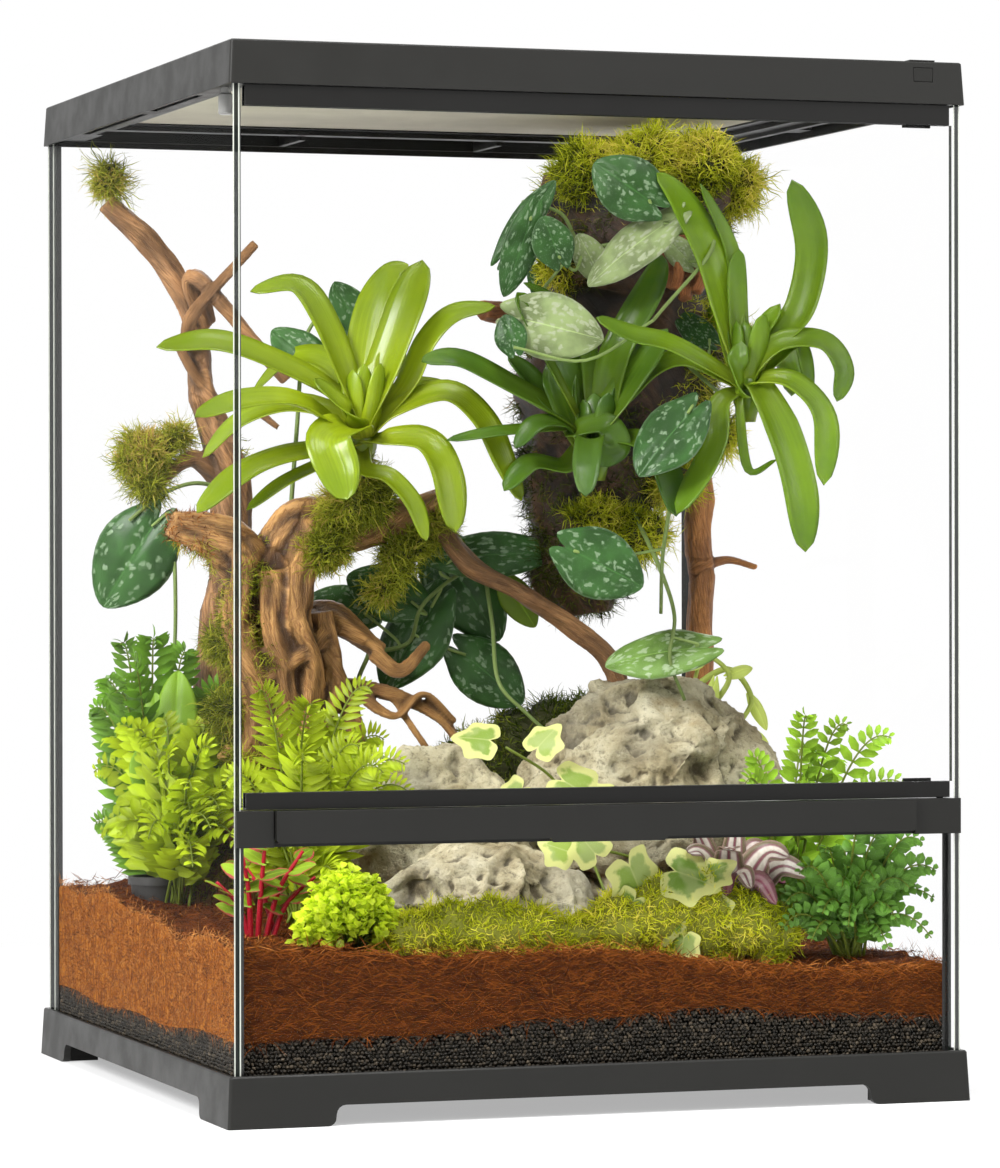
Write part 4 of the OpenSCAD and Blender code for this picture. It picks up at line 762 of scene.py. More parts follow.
def enclosure():
    case = plastic("frame_plastic", (0.0112, 0.011, 0.0096), 0.42)
    dark = plastic("rail_plastic", (0.0058, 0.0056, 0.005), 0.38)
    for n in ("base_frame", "front_rail", "top_frame", "latch_bar", "screen_lock"):
        paint(n, case)
    for n in ("door_top_rail", "door_low_rail", "hinge_pin_top", "hinge_pin_low", "screen_frame", "inlet_cover_left",
              "inlet_cover_right"):
        paint(n, dark)
    for mat, nodes in ((clear_glass("side_pane", 0), ("left_glass", "right_glass")),
                       (clear_glass("front_pane", 1), ("rear_glass", "front_glass", "door_glass")),
                       (clear_glass("floor_pane", 2), ("floor_glass",))):
        for n in nodes:
            paint(n, mat)
    paint("corner_beads", plain("sealing_bead", (0.02, 0.02, 0.019), 0.3, 300, 0.1))
    paint("hanger_stud", plain("stud_finish", (0.2, 0.2, 0.19), 0.22, 300, 0.1))
    paint("plant_pot", plain("pot_plastic", (0.025, 0.024, 0.022), 0.5))


def wire_screen():
    """Straight wires in two layers, 2 mm apart."""
    low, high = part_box("screen_mesh")
    low, high = [v / MM for v in low], [v / MM for v in high]
    wires = Heap()
    pitch, r = 2.0, 0.24
    middle = (low[2] + high[2]) / 2
    for axis in (0, 1):
        other = 1 - axis
        count = int((high[other] - low[other] - 1) / pitch)
        for k in range(count + 1):
            c = low[other] + 0.5 + k * (high[other] - low[other] - 1) / count
            z = middle + (0.12 if axis else -0.12)
            ends = []
            for e in (low[axis] + 0.2, high[axis] - 0.2):
                p = [0.0, 0.0, z]
                p[axis], p[other] = e, c
                ends.append(p)
            ring = [(r, 0), (0, r), (-r, 0), (0, -r)]
            verts = [[q[0] + (a if other == 0 else 0), q[1] + (a if other == 1 else 0), q[2] + b]
                     for q in ends for a, b in ring]
            wires.add(verts, [(i, (i + 1) % 4, 4 + (i + 1) % 4, 4 + i) for i in range(4)]
                      + [(0, 1, 2, 3), (7, 6, 5, 4)], np.full((8, 3), 0.5))
    wires.make("screen_wire", plain("screen_metal", (0.5, 0.47, 0.4), 0.45, 900, 0.1, metallic=0.3),
               ["screen_mesh"], "screen", "wire", flat=True)


def paint(node, mat):
    mesh = NODES[node].data
    if not mesh.materials:
        mesh.materials.append(mat)
    for i in range(len(mesh.materials)):
        mesh.materials[i] = mat


# ---------------------------------------------------------------- ground

def wave(degrees):
    return np.sin(np.radians(degrees))


def drain_top(x, y):
    """Height of the drainage layer over the floor pane, as in the CAD source."""
    return 29 + 4 * wave(x * 0.9 + 40) - 5 * wave(y * 0.35 - x * 0.3) + 1.5 * wave(x * 3.1 + y * 2.3)


def coir_top(x, y):
    """Height of the soil over the floor pane, as in the CAD source."""
    return 75 + 10 * wave(-x * 0.4) + 6 * wave(y * 0.42) + 2.5 * wave(x * 1.7 + y * 1.3) + 2 * wave(y * 2.9 - x * 0.8)


# Walls of the soil, and how far its fibres may reach, just inside the panes
SOIL_X, SOIL_FRONT, SOIL_REAR = 220.2, -216.2, 220.2
FIBRE_X, FIBRE_FRONT = 220.65, -216.65


def coir():
    """A rough top and four walls."""
    n = 150
    xs, ys = np.linspace(-SOIL_X, SOIL_X, n), np.linspace(SOIL_FRONT, SOIL_REAR, n)
    gx, gy = np.meshgrid(xs, ys)
    flat = np.column_stack([gx.ravel(), gy.ravel(), np.zeros(n * n)])
    rough = 3.2 * lumps(flat, 24, 1) + 2.4 * lumps(flat, 7, 2, 2)
    top = coir_top(flat[:, 0], flat[:, 1]) + FLOOR + rough
    heap = Heap()
    verts = flat.copy()
    verts[:, 2] = top
    heap.add(verts, grid_faces(n, n), np.zeros((n * n, 3)))
    edge = [i for i in range(n)] + [i * n + n - 1 for i in range(1, n)] + [n * n - 1 - i for i in range(1, n)] \
        + [(n - 1 - i) * n for i in range(1, n - 1)]
    ring = verts[edge]
    rows = []
    for k in range(9):
        row = ring.copy()
        low = drain_top(ring[:, 0], ring[:, 1]) + FLOOR
        row[:, 2] = ring[:, 2] + (low - ring[:, 2]) * k / 8
        rows.append(row)
    heap.add(np.vstack(rows), grid_faces(9, len(edge), True), np.zeros((9 * len(edge), 3)))
    heap.make("coir_mass", coir_mat(), ["coir_bed"], slot="coir")


def fibres(rng):
    """Loose fibres on the walls and over the top."""
    fibre = Heap()
    for side in range(4):
        count = 9000 if side in (0, 3) else 4500
        u = rng.uniform(-1, 1, count)
        x = u * SOIL_X if side in (0, 1) else np.full(count, SOIL_X if side == 2 else -SOIL_X)
        y = (np.where(side == 0, SOIL_FRONT, SOIL_REAR) * np.ones(count) if side in (0, 1)
             else SOIL_FRONT + (u + 1) / 2 * (SOIL_REAR - SOIL_FRONT))
        lo, hi = drain_top(x, y) + FLOOR - 1, coir_top(x, y) + FLOOR + 3
        z = lo + (hi - lo) * rng.random(count)
        ang = rng.normal(0, 0.55, count)
        flat_dir = np.column_stack([np.cos(ang), np.zeros(count), np.sin(ang)])
        if side > 1:
            flat_dir = flat_dir[:, [1, 0, 2]]
        out = np.array([[0, -1, 0], [0, 1, 0], [1, 0, 0], [-1, 0, 0]][side], float)
        root = np.column_stack([x, y, z]) + out * rng.uniform(0.0, 0.35, (count, 1))
        flat_dir *= rng.choice([-1, 1], (count, 1))
        # Fibres on the front wall are painted darker as painted shade, those on the left wall paler as painted light,
        # and all are paler near the top of a wall
        strands(fibre, root, flat_dir, np.tile(out, (count, 1)), rng.uniform(4, 14, count),
                rng.uniform(0.25, 0.5, count),
                np.clip(rng.random(count) * (0.6, 0.9, 0.9, 0.75)[side] + (0.0, 0.05, 0.05, 0.25)[side]
                        + 0.35 * np.clip(1 - (hi - z) / 9, 0, 1), 0, 1), 0.15)
    count = 16000
    x, y = rng.uniform(-SOIL_X, SOIL_X, count), rng.uniform(SOIL_FRONT, SOIL_REAR, count)
    p = np.column_stack([x, y, np.zeros(count)])
    p[:, 2] = coir_top(x, y) + FLOOR + 3.2 * lumps(p * [1, 1, 0], 24, 1) + 0.4
    ang = rng.uniform(0, 2 * np.pi, count)
    d = np.column_stack([np.cos(ang), np.sin(ang), rng.uniform(-0.05, 0.55, count)])
    strands(fibre, p, d, np.tile([0.1, 0.2, 1.0], (count, 1)), rng.uniform(5, 16, count),
            rng.uniform(0.3, 0.6, count), rng.random(count), 0.5)
    for part in fibre.v:
        part[:, 0] = np.clip(part[:, 0], -FIBRE_X, FIBRE_X)
        part[:, 1] = np.clip(part[:, 1], FIBRE_FRONT, FIBRE_X)
    stops = [(0.0, (0.02, 0.005, 0.002)), (0.35, (0.1, 0.025, 0.005)), (0.7, (0.28, 0.08, 0.012)),
             (1.0, (0.55, 0.23, 0.055))]
    fibre.make("coir_fibres", strand_mat("coir_strand", stops, 0.1, 0.8), slot="coir")


def pellets(rng):
    """Small round pellets along the panes, over a solid core."""
    ball_v, ball_f = ico()
    beads = Heap()
    # Radius of a pellet, and the steps between pellets along the pane and upwards, in millimetres
    r, step, rise = 1.35, 2.45, 2.15
    total = []
    for side in range(4):
        length = 2 * SOIL_X if side < 2 else SOIL_REAR - SOIL_FRONT
        cols = int(length / step)
        for row in range(18):
            u = (np.arange(cols) + (0.5 if row % 2 else 0.0)) / cols * 2 - 1
            x = u * (SOIL_X - 1.2) if side < 2 else np.full(cols, (SOIL_X - 1.2) * (1 if side == 2 else -1))
            y = (np.full(cols, SOIL_FRONT + 1.2 if side == 0 else SOIL_REAR - 1.2) if side < 2
                 else (SOIL_FRONT + 1.2) + (u + 1) / 2 * (SOIL_REAR - SOIL_FRONT - 2.4))
            z = np.full(cols, FLOOR + 1.4 + row * rise)
            p = np.column_stack([x, y, z]) + rng.normal(0, 0.28, (cols, 3))
            p = p[p[:, 2] < drain_top(p[:, 0], p[:, 1]) + FLOOR + 0.6]
            total.append(p)
    p = np.vstack(total)
    p[:, 0] = np.clip(p[:, 0], -SOIL_X + 1.1, SOIL_X - 1.1)
    p[:, 1] = np.clip(p[:, 1], SOIL_FRONT + 1.1, SOIL_REAR - 1.1)
    p[:, 2] = np.maximum(p[:, 2], FLOOR + 1.3)
    size = rng.uniform(0.8, 1.15, len(p)) * r
    verts = (p[:, None, :] + ball_v[None] * size[:, None, None]).reshape(-1, 3)
    faces = (np.array(ball_f)[None] + 12 * np.arange(len(p))[:, None, None]).reshape(-1, 3)
    data = np.repeat(np.column_stack([np.zeros((len(p), 2)), rng.random(len(p)) ** 2]), 12, axis=0)
    beads.add(verts, faces.tolist(), data)
    inner = 2.6
    corners = [(-1, -1), (1, -1), (1, 1), (-1, 1)]
    box = [(sx * (SOIL_X - inner), SOIL_FRONT + inner if sy < 0 else SOIL_REAR - inner, z)
           for z in (FLOOR + 0.4, FLOOR + 24) for sx, sy in corners]
    beads.add(box, [(0, 3, 2, 1), (4, 5, 6, 7), (0, 1, 5, 4), (1, 2, 6, 5), (2, 3, 7, 6), (3, 0, 4, 7)],
              np.zeros((8, 3)))
    beads.make("drainage_pellets", bead_mat(), ["drainage_beads"], slot="pumice")


def ground():
    rng = np.random.default_rng(5)
    coir()
    fibres(rng)
    pellets(rng)


def ico():
    t = (1 + 5 ** 0.5) / 2
    v = np.array([(-1, t, 0), (1, t, 0), (-1, -t, 0), (1, -t, 0), (0, -1, t), (0, 1, t), (0, -1, -t), (0, 1, -t),
                  (t, 0, -1), (t, 0, 1), (-t, 0, -1), (-t, 0, 1)], float)
    f = [(0, 11, 5), (0, 5, 1), (0, 1, 7), (0, 7, 10), (0, 10, 11), (1, 5, 9), (5, 11, 4), (11, 10, 2), (10, 7, 6),
         (7, 1, 8), (3, 9, 4), (3, 4, 2), (3, 2, 6), (3, 6, 8), (3, 8, 9), (4, 9, 5), (2, 4, 11), (6, 2, 10),
         (8, 6, 7),
         (9, 8, 1)]
    return v / np.linalg.norm(v[0]), f


# ---------------------------------------------------------------- stones

def rocks():
    stone = rock_stone()
    for node, seed in (("peak_rock", 3), ("side_rock", 5), ("front_rock", 9)):
        mesh = fused(NODES[node], 1.9, 6)
        p, n = points_of(mesh)
        bent = p + 6 * np.column_stack([lumps(p, 18, seed + k, 3) for k in range(3)])
        blocks = np.zeros(len(p))
        for size, deep, sharp in ((30.0, 7.5, 3.5), (13.0, 3.0, 3.0)):
            for i, q in enumerate(bent / size):
                reach, seeds = cells.voronoi(Vector(q))
                step = math.sin(seeds[0].x * 12.9 + seeds[0].y * 78.2 + seeds[0].z * 37.7)
                blocks[i] += deep * (0.5 * step - 0.4) * min(1.0, (reach[1] - reach[0]) * sharp)
        wide = lumps(p, 40, seed, 2)
        ridge = 1 - 2 * np.abs(lumps(p * [1, 1, 1.5], 24, seed + 2, 4))
        fine = lumps(p, 5, seed + 3, 3)
        p = p + n * (3.0 * wide + blocks + 2.4 * ridge + 1.5 * fine + 0.6)[:, None]
        set_points(mesh, inside(p))
        hollows(mesh)
        mesh.shade_smooth()
        mesh.materials.append(stone)
        place(bpy.data.objects.new(node + "_stone", mesh), [node], slot="rock")


# ---------------------------------------------------------------- wood

ROOT_TRUNK = [(-124, 62, 56, 28), (-120, 62, 130, 20), (-126, 60, 210, 19), (-122, 56, 280, 21), (-104, 50, 328, 12)]
ROOT_ARMS = [
    [(-126, 56, 286, 17), (-154, 46, 312, 14), (-190, 44, 326, 7)],
    [(-126, 56, 296, 16), (-104, 42, 328, 14), (-72, 36, 320, 11), (-42, 34, 330, 10), (-18, 26, 342, 8)],
    [(-122, 60, 230, 15), (-88, 54, 266, 11), (-54, 44, 244, 6)],
    [(-126, 60, 200, 14), (-88, 72, 206, 9), (-64, 78, 160, 7), (-70, 74, 70, 9)],
    [(-124, 62, 130, 20), (-152, 66, 98, 14), (-168, 70, 60, 10)],
    [(-114, 60, 214, 9), (-68, 42, 222, 5), (-22, 34, 206, 4), (2, 30, 176, 3)],
    # Strands that wind down the stump, and fine roots
    [(-100, 38, 326, 9), (-114, 30, 276, 11), (-104, 32, 226, 9), (-120, 32, 172, 9), (-104, 36, 112, 9),
     (-94, 42, 62, 9)],
    [(-142, 38, 304, 10), (-150, 38, 256, 10), (-136, 30, 208, 9), (-150, 38, 150, 9), (-138, 44, 98, 10),
     (-160, 48, 58, 9)],
    [(-94, 42, 270, 8), (-90, 38, 226, 8), (-100, 38, 180, 7), (-90, 44, 130, 8), (-80, 50, 62, 8)],
    [(-130, 32, 296, 8), (-126, 27, 250, 8), (-122, 27, 206, 7), (-134, 30, 160, 8), (-122, 34, 104, 8)],
    [(-148, 58, 244, 9), (-136, 32, 232, 7), (-112, 27, 242, 7), (-92, 42, 256, 8)],
    [(-150, 54, 184, 8), (-132, 30, 170, 6), (-108, 30, 152, 6), (-92, 48, 146, 7)],
    [(-96, 40, 250, 7), (-78, 36, 214, 6), (-72, 42, 176, 5), (-82, 52, 130, 6)],
    [(-60, 40, 244, 5), (-44, 34, 232, 4), (-24, 40, 250, 3)],
    [(-76, 40, 224, 4), (-50, 30, 204, 3), (-30, 30, 218, 2.4), (-8, 30, 200, 2)],
    [(-46, 38, 214, 3), (-34, 26, 190, 2.4), (-20, 24, 170, 2)],
]
ROOT_KNOTS = [(-112, 38, 300, 12), (-148, 48, 302, 10), (-90, 42, 318, 10), (-106, 46, 314, 9), (-128, 30, 226, 9)]
TALL_LIMBS = [
    [(-130, 132, 60, 15), (-138, 138, 190, 13), (-124, 148, 340, 12), (-142, 152, 414, 9), (-142, 160, 450, 8),
     (-162, 168, 496, 8), (-199, 172, 534, 6)],
    [(-136, 158, 456, 7), (-148, 138, 484, 6), (-92, 122, 418, 4)],
    [(-142, 156, 432, 5), (-152, 136, 458, 4), (-114, 120, 506, 3)],
    [(-130, 150, 354, 7), (-150, 148, 368, 6), (-172, 144, 352, 4)],
    [(-128, 150, 400, 5), (-150, 146, 426, 4), (-160, 144, 446, 2.6)],
    [(-126, 150, 380, 4), (-112, 138, 398, 3.4), (-96, 130, 388, 2.2)],
]
LONG_LIMB = [(-28, 30, 340, 7), (-6, 20, 302, 7), (28, 14, 282, 6), (66, 6, 256, 6), (86, 0, 236, 6),
             (92, -2, 204, 6)]
COLUMN_SPINE = [(84, 40, 268, 18), (80, 40, 300, 36), (86, 40, 350, 44), (102, 38, 410, 54), (116, 38, 470, 60),
                (120, 38, 540, 60), (120, 38, 566, 34)]
POST_SPINE = [(152, 54, 56, 11), (157, 53, 150, 10), (164, 50, 260, 9), (160, 46, 390, 10)]
POST_TWIG = [(160, 50, 296, 4), (184, 52, 302, 3), (204, 50, 297, 2)]
SNAG_LIMBS = [[(112, 4, 508, 9), (108, -20, 504, 8), (116, -34, 490, 6), (112, -38, 472, 4)],
              [(124, 2, 508, 9), (126, -22, 502, 8), (134, -36, 486, 6), (128, -40, 470, 4)],
              [(116, 0, 490, 8), (122, -26, 484, 7), (120, -38, 466, 5)],
              [(104, 0, 500, 8), (118, -30, 498, 6), (136, -32, 500, 5), (146, -24, 494, 4)],
              [(66, 24, 452, 9), (30, 4, 456, 7), (-6, -14, 458, 6)]]


def wooden(name, node, limbs, knots, mat, voxel, flute, slot="wood"):
    """Limbs that grow into each other, with winding ridges, and a grain that follows the nearest limb."""
    heap = Heap()
    spines = []
    for i, limb in enumerate(limbs):
        p = curve(limb, 8)
        p[:, 2] += FLOOR
        r = p[:, 3] * (1 + 0.14 * lumps(p[:, :3] + i * 50, 16, i, 2))
        path = p[:, :3] + np.column_stack([lumps(p[:, :3], 26, 20 + i, 2), lumps(p[:, :3], 26, 40 + i, 2),
                                           np.zeros(len(p))]) * np.minimum(p[:, 3:4] * 0.35, 4)
        tube(heap, path, r, 16, flute=flute, seed=i * 1.7)
        spines.append(path)
    for x, y, z, r in knots:
        v, f = ico()
        heap.add(v * r * [1, 0.9, 0.8] + [x, y, z + FLOOR], f, np.zeros((12, 3)))
    mesh = fused(heap, voxel, 2)
    p, n = points_of(mesh)
    mesh.attributes.new("grain", "FLOAT_VECTOR", "POINT")
    centre = np.vstack(spines)
    d = np.vstack([unit(np.gradient(s, axis=0)) for s in spines])
    tag = np.concatenate([np.full(len(s), i) for i, s in enumerate(spines)])
    run = np.concatenate([run_along(s) for s in spines])
    near = np.empty(len(p), int)
    for k in range(0, len(p), 4000):
        near[k:k + 4000] = ((p[k:k + 4000, None] - centre[None]) ** 2).sum(2).argmin(1)
    off = p - centre[near]
    axis = d[near]
    flat = off - (off * axis).sum(1)[:, None] * axis
    ref = unit(np.cross(axis, [0.3, 0.5, 0.8]))
    ang = np.arctan2((flat * np.cross(axis, ref)).sum(1), (flat * ref).sum(1))
    along = (run[near] + (off * axis).sum(1)) / 100
    # The angle goes in as a point on a circle, so that the grain has no seam
    data = np.column_stack([along, np.cos(ang + along * 2) * 0.16, np.sin(ang + along * 2) * 11 + tag[near] * 5])
    ridges = lumps(np.column_stack([along * 3, np.cos(ang) * 2.2, np.sin(ang) * 2.2 + tag[near]]), 1.0, 3, 3)
    cracks = lumps(np.column_stack([along * 5, np.cos(ang) * 5, np.sin(ang) * 5 + tag[near]]), 1.0, 8, 2)
    size = np.minimum(np.linalg.norm(flat, axis=1), 26)
    p = p + n * (0.11 * size * ridges + 0.05 * size * cracks)[:, None]
    set_points(mesh, inside(p))
    hollows(mesh)
    mesh.attributes["grain"].data.foreach_set("vector", data.astype(np.float32).ravel())
    mesh.shade_smooth()
    mesh.materials.append(mat)
    return place(bpy.data.objects.new(name, mesh), [node] if node else [], slot=slot)


def woods():
    root = driftwood("root_wood_grain", (0.5, 0.27, 0.09), (0.27, 0.12, 0.036), (0.075, 0.03, 0.011))
    branch = driftwood("branch_grain", (0.42, 0.22, 0.09), (0.24, 0.11, 0.04), (0.06, 0.028, 0.012))
    post = driftwood("post_grain", (0.62, 0.27, 0.08), (0.36, 0.14, 0.04), (0.1, 0.036, 0.014))
    snag = driftwood("snag_grain", (0.5, 0.19, 0.065), (0.28, 0.09, 0.03), (0.08, 0.024, 0.01))
    bark = driftwood("bark_grain", (0.085, 0.04, 0.018), (0.034, 0.017, 0.008), (0.01, 0.006, 0.003))
    fine = 1.8
    wooden("root_stump", "root_wood", [ROOT_TRUNK] + ROOT_ARMS, ROOT_KNOTS, root, fine, 0.3)
    wooden("corner_branch", "tall_branch", TALL_LIMBS, [], branch, fine * 0.8, 0.2)
    wooden("arched_branch", "long_branch", [LONG_LIMB], [], branch, fine * 0.7, 0.2)
    wooden("carrier_post", "wood_post", [POST_SPINE, POST_TWIG], [], post, fine * 0.7, 0.12)
    wooden("bark_trunk", "bark_column", [COLUMN_SPINE], [], bark, 3.2, 0.16, "bark")
    wooden("column_snag", None, SNAG_LIMBS, [], snag, fine * 0.8, 0.3)


# ---------------------------------------------------------------- moss

# Middle and half sizes of the mounds that a moss grows over
MOUNDS = {
    "rock_moss": [
        (-8, 62, 168, 26, 22, 34), (16, 62, 180, 28, 24, 40), (40, 62, 188, 28, 24, 42), (66, 62, 194, 26, 24, 42),
        (86, 60, 206, 20, 20, 32), (30, 64, 146, 48, 28, 38), (72, 66, 148, 36, 26, 48)
    ],
    "front_moss": [
        (-106, -188, 102, 18, 15, 15), (-84, -190, 106, 22, 16, 19), (-58, -192, 107, 22, 15, 21),
        (-34, -192, 103, 18, 15, 17), (-8, -190, 99, 16, 13, 13), (22, -190, 106, 22, 16, 21),
        (46, -188, 112, 24, 18, 26), (72, -188, 113, 24, 18, 28), (98, -190, 107, 20, 15, 20),
        (120, -188, 99, 16, 13, 15)
    ],
}


def combed(mesh, count, rng, length, heap, width=0.6, up=0.4, keep=None):
    """Strands that grow out of a skin in tangled, uneven tufts."""
    pos, nrm = surface_samples(mesh, count, rng)
    ok = lumps(pos, 7, 41, 2) > -0.35
    if keep is not None:
        ok &= keep(pos)
    pos, nrm = pos[ok], nrm[ok]
    n = len(pos)
    d = nrm * 0.8 + rng.normal(0, 0.75, (n, 3)) + [0, 0, up] + 0.6 * np.column_stack(
        [lumps(pos, 10, 50 + k, 2) for k in range(3)])
    size = rng.uniform(length[0], length[1], n) * (1 + 0.8 * lumps(pos, 12, 31, 2))
    tint = np.clip(0.5 + 0.6 * lumps(pos, 20, 17, 2) + rng.normal(0, 0.2, n), 0, 1)
    curls(heap, rng, pos - nrm * 1.2, d, size, rng.uniform(0.6, 1.3, n) * width, tint)


def mosses():
    rng = np.random.default_rng(21)
    bright = strand_mat("moss_bright", [(0.0, (0.14, 0.17, 0.006)), (0.25, (0.42, 0.47, 0.014)),
                                        (0.6, (0.74, 0.76, 0.035)),
                                        (1.0, (0.9, 0.78, 0.14))], 0.42)
    golden = strand_mat("moss_golden", [(0.0, (0.07, 0.09, 0.005)), (0.25, (0.27, 0.32, 0.012)),
                                        (0.6, (0.58, 0.6, 0.03)),
                                        (1.0, (0.8, 0.68, 0.13))], 0.36)
    olive = strand_mat("moss_olive", [(0.0, (0.05, 0.065, 0.008)), (0.35, (0.2, 0.23, 0.018)),
                                      (0.7, (0.42, 0.44, 0.04)),
                                      (1.0, (0.55, 0.38, 0.11))], 0.32)
    deep = strand_mat("moss_deep", [(0.0, (0.02, 0.035, 0.004)), (0.4, (0.09, 0.13, 0.012)),
                                    (0.75, (0.24, 0.28, 0.03)),
                                    (1.0, (0.5, 0.44, 0.09))], 0.3)
    dim = strand_mat("moss_dim", [(0.0, (0.01, 0.014, 0.002)), (0.4, (0.038, 0.056, 0.006)),
                                  (0.75, (0.11, 0.15, 0.014)),
                                  (1.0, (0.24, 0.16, 0.045))], 0.2)
    base = plain("moss_base", (0.2, 0.21, 0.02), 0.95, 700, 1.0, 0.5)
    shady = plain("moss_base_dark", (0.035, 0.038, 0.008), 0.95, 700, 1.0, 0.5)
    for node, count, length, mat, ground_mat, up, shrink in (
            ("branch_moss", 8000, (8, 22), olive, shady, 0.1, 5.5),
            ("root_moss", 20000, (6, 18), olive, shady, 0.05, 4.2),
            ("column_moss", 24000, (6, 19), golden, shady, 0.2, 3.0),
            ("rock_moss", 30000, (5, 13), deep, shady, 0.5, 1.0),
            ("front_moss", 30000, (4, 11), bright, base, 0.5, 1.0)):
        extra = Heap()
        for x, y, z, a, b, c in MOUNDS.get(node, []):
            v, f = ico()
            extra.add(v * [a, b, c] * 1.1 + [x, y, z], f, np.zeros((12, 3)))
        bodies = [fused(NODES[node], 2.6, 8)] + ([fused(extra, 3.0, 6)] if extra.v else [])
        heap = Heap()
        for k, skin in enumerate(bodies):
            v, n = points_of(skin)
            set_points(skin, inside(v + n * (4.4 * lumps(v, 16, 5, 2) + 2.0 * lumps(v, 6, 9, 2) - shrink)[:, None]))
            skin.shade_smooth()
            skin.materials.append(ground_mat)
            place(bpy.data.objects.new(node + ("_mound" if k else "_cushion"), skin), [] if k else [node],
                  slot="moss")
            combed(skin, count // len(bodies), rng, length, heap, 0.8, up)
        if node == "column_moss":
            trunk = bpy.data.objects["bark_trunk"].data
            combed(trunk, 13000, rng, (5, 14), heap, up=0.2, keep=lambda q: q[:, 2] > 536 + 30 * lumps(q, 40, 3))
            combed(trunk, 22000, rng, (7, 19), heap, up=-0.1, keep=lambda q: (q[:, 0] > 122 + 26 * lumps(q, 30, 4))
                   & (q[:, 2] < 490) & (q[:, 2] > 330))
            shade = Heap()
            combed(trunk, 40000, rng, (4, 14), shade, up=0.0,
                   keep=lambda q: (q[:, 2] < 540) & (lumps(q, 30, 6, 2) + (450 - q[:, 2]) / 300 > -0.05))
            shade.clip()
            shade.make("column_moss_dark", dim, slot="moss")
        if node == "root_moss":
            trunk = bpy.data.objects["root_stump"].data
            combed(trunk, 60000, rng, (4, 12), heap, up=0.0,
                   keep=lambda q: (lumps(q, 26, 8, 2) * 1.2 - (q[:, 0] + 128) / 60 + (q[:, 1] - 60) / 120 > 0.12)
                   & (q[:, 0] < -70) & (q[:, 2] < 336) & (q[:, 2] > 110))
            fuzz = Heap()
            combed(trunk, 40000, rng, (3, 8), fuzz, up=0.0, keep=lambda q: (q[:, 0] < -164 + 8 * lumps(q, 12, 3))
                   & (q[:, 2] > 326))
            fuzz.clip()
            fuzz.make("root_arm_fibres", bpy.data.materials["coir_strand"], slot="coir")
        if node == "branch_moss":
            trunk = bpy.data.objects["corner_branch"].data
            combed(trunk, 26000, rng, (4, 11), heap, up=0.1,
                   keep=lambda q: (lumps(q, 30, 12, 2) + (330 - q[:, 2]) / 200 > 0.22) & (q[:, 2] < 480))
        heap.clip()
        heap.make(node + "_strands", mat, slot="moss")


# ---------------------------------------------------------------- rosettes

LEFT = [
    (18, [(-89, -10, 427), (-103, 0, 470), (-118, 10, 494), (-147, 15, 490)]),
    (19, [(-84, -8, 427), (-73, 4, 475), (-59, 6, 502), (-47, 6, 508)]),
    (26, [(-74, -15, 427), (-57, -15, 474), (-43, -10, 510)]),
    (16, [(-54, -15, 433), (-43, -20, 459), (-27, -25, 476), (-2, -30, 481)]),
    (20, [(-101, -12, 425), (-137, -12, 444), (-175, -10, 457), (-212, -4, 454)]),
    (18, [(-103, -20, 407), (-134, -35, 421), (-171, -50, 420), (-203, -60, 410)]),
    (15, [(-93, -25, 412), (-105, -24, 424), (-117, -22, 435)]),
    (16, [(-104, -25, 393), (-145, -40, 386), (-177, -60, 374), (-206, -75, 352)]),
    (8, [(-108, -25, 385), (-142, -40, 371), (-168, -50, 354)]),
    (24, [(-95, -30, 406), (-115, -48, 398), (-112, -58, 378), (-108, -62, 360)]),
    (18, [(-64, -20, 416), (-34, -30, 427), (-14, -40, 411), (-1, -45, 383), (9, -48, 360)]),
    (19, [(-74, -30, 398), (-52, -45, 396), (-42, -55, 376), (-38, -60, 340)]),
    (11, [(-88, -35, 379), (-75, -45, 374), (-61, -50, 357), (-54, -52, 335)]),
    # Leaves on the far side of the heart
    (19, [(-80, 0, 420), (-92, 26, 446), (-110, 52, 450), (-128, 78, 430)]),
    (18, [(-76, 2, 422), (-62, 30, 452), (-44, 58, 458), (-28, 84, 440)]),
    (17, [(-70, -2, 412), (-44, 10, 430), (-14, 18, 428), (12, 22, 408)]),
    (17, [(-92, 0, 412), (-118, 24, 420), (-146, 44, 410), (-166, 58, 388)]),
]
MIDDLE = [
    (22, [(50, -34, 407), (4, -45, 430), (-32, -50, 446), (-58, -55, 445)]),
    (12, [(45, -45, 402), (34, -50, 408), (14, -60, 407), (-1, -65, 392)]),
    (16, [(49, -30, 411), (35, -30, 420), (21, -25, 439), (10, -20, 451)]),
    (19, [(66, -40, 410), (72, -45, 450), (95, -45, 492), (105, -40, 514)]),
    (22, [(64, -50, 410), (81, -55, 438), (101, -60, 467)]),
    (34, [(57, -34, 404), (49, -30, 429), (41, -25, 451)]),
    (16, [(43, -50, 402), (59, -60, 407), (65, -65, 394), (55, -66, 381)]),
    (14, [(50, -40, 392), (38, -45, 381), (14, -50, 383), (-5, -55, 366)]),
    (9, [(47, -40, 405), (-2, -50, 403), (-41, -52, 397)]),
    (10, [(57, -30, 467), (34, -40, 484), (12, -44, 495)]),
    (10, [(8, -50, 480), (23, -46, 476), (30, -44, 459)]),
    (16, [(66, -50, 398), (80, -72, 396), (88, -92, 378), (90, -104, 350)]),
    (15, [(54, -52, 396), (44, -76, 398), (34, -98, 384), (28, -112, 362)]),
]
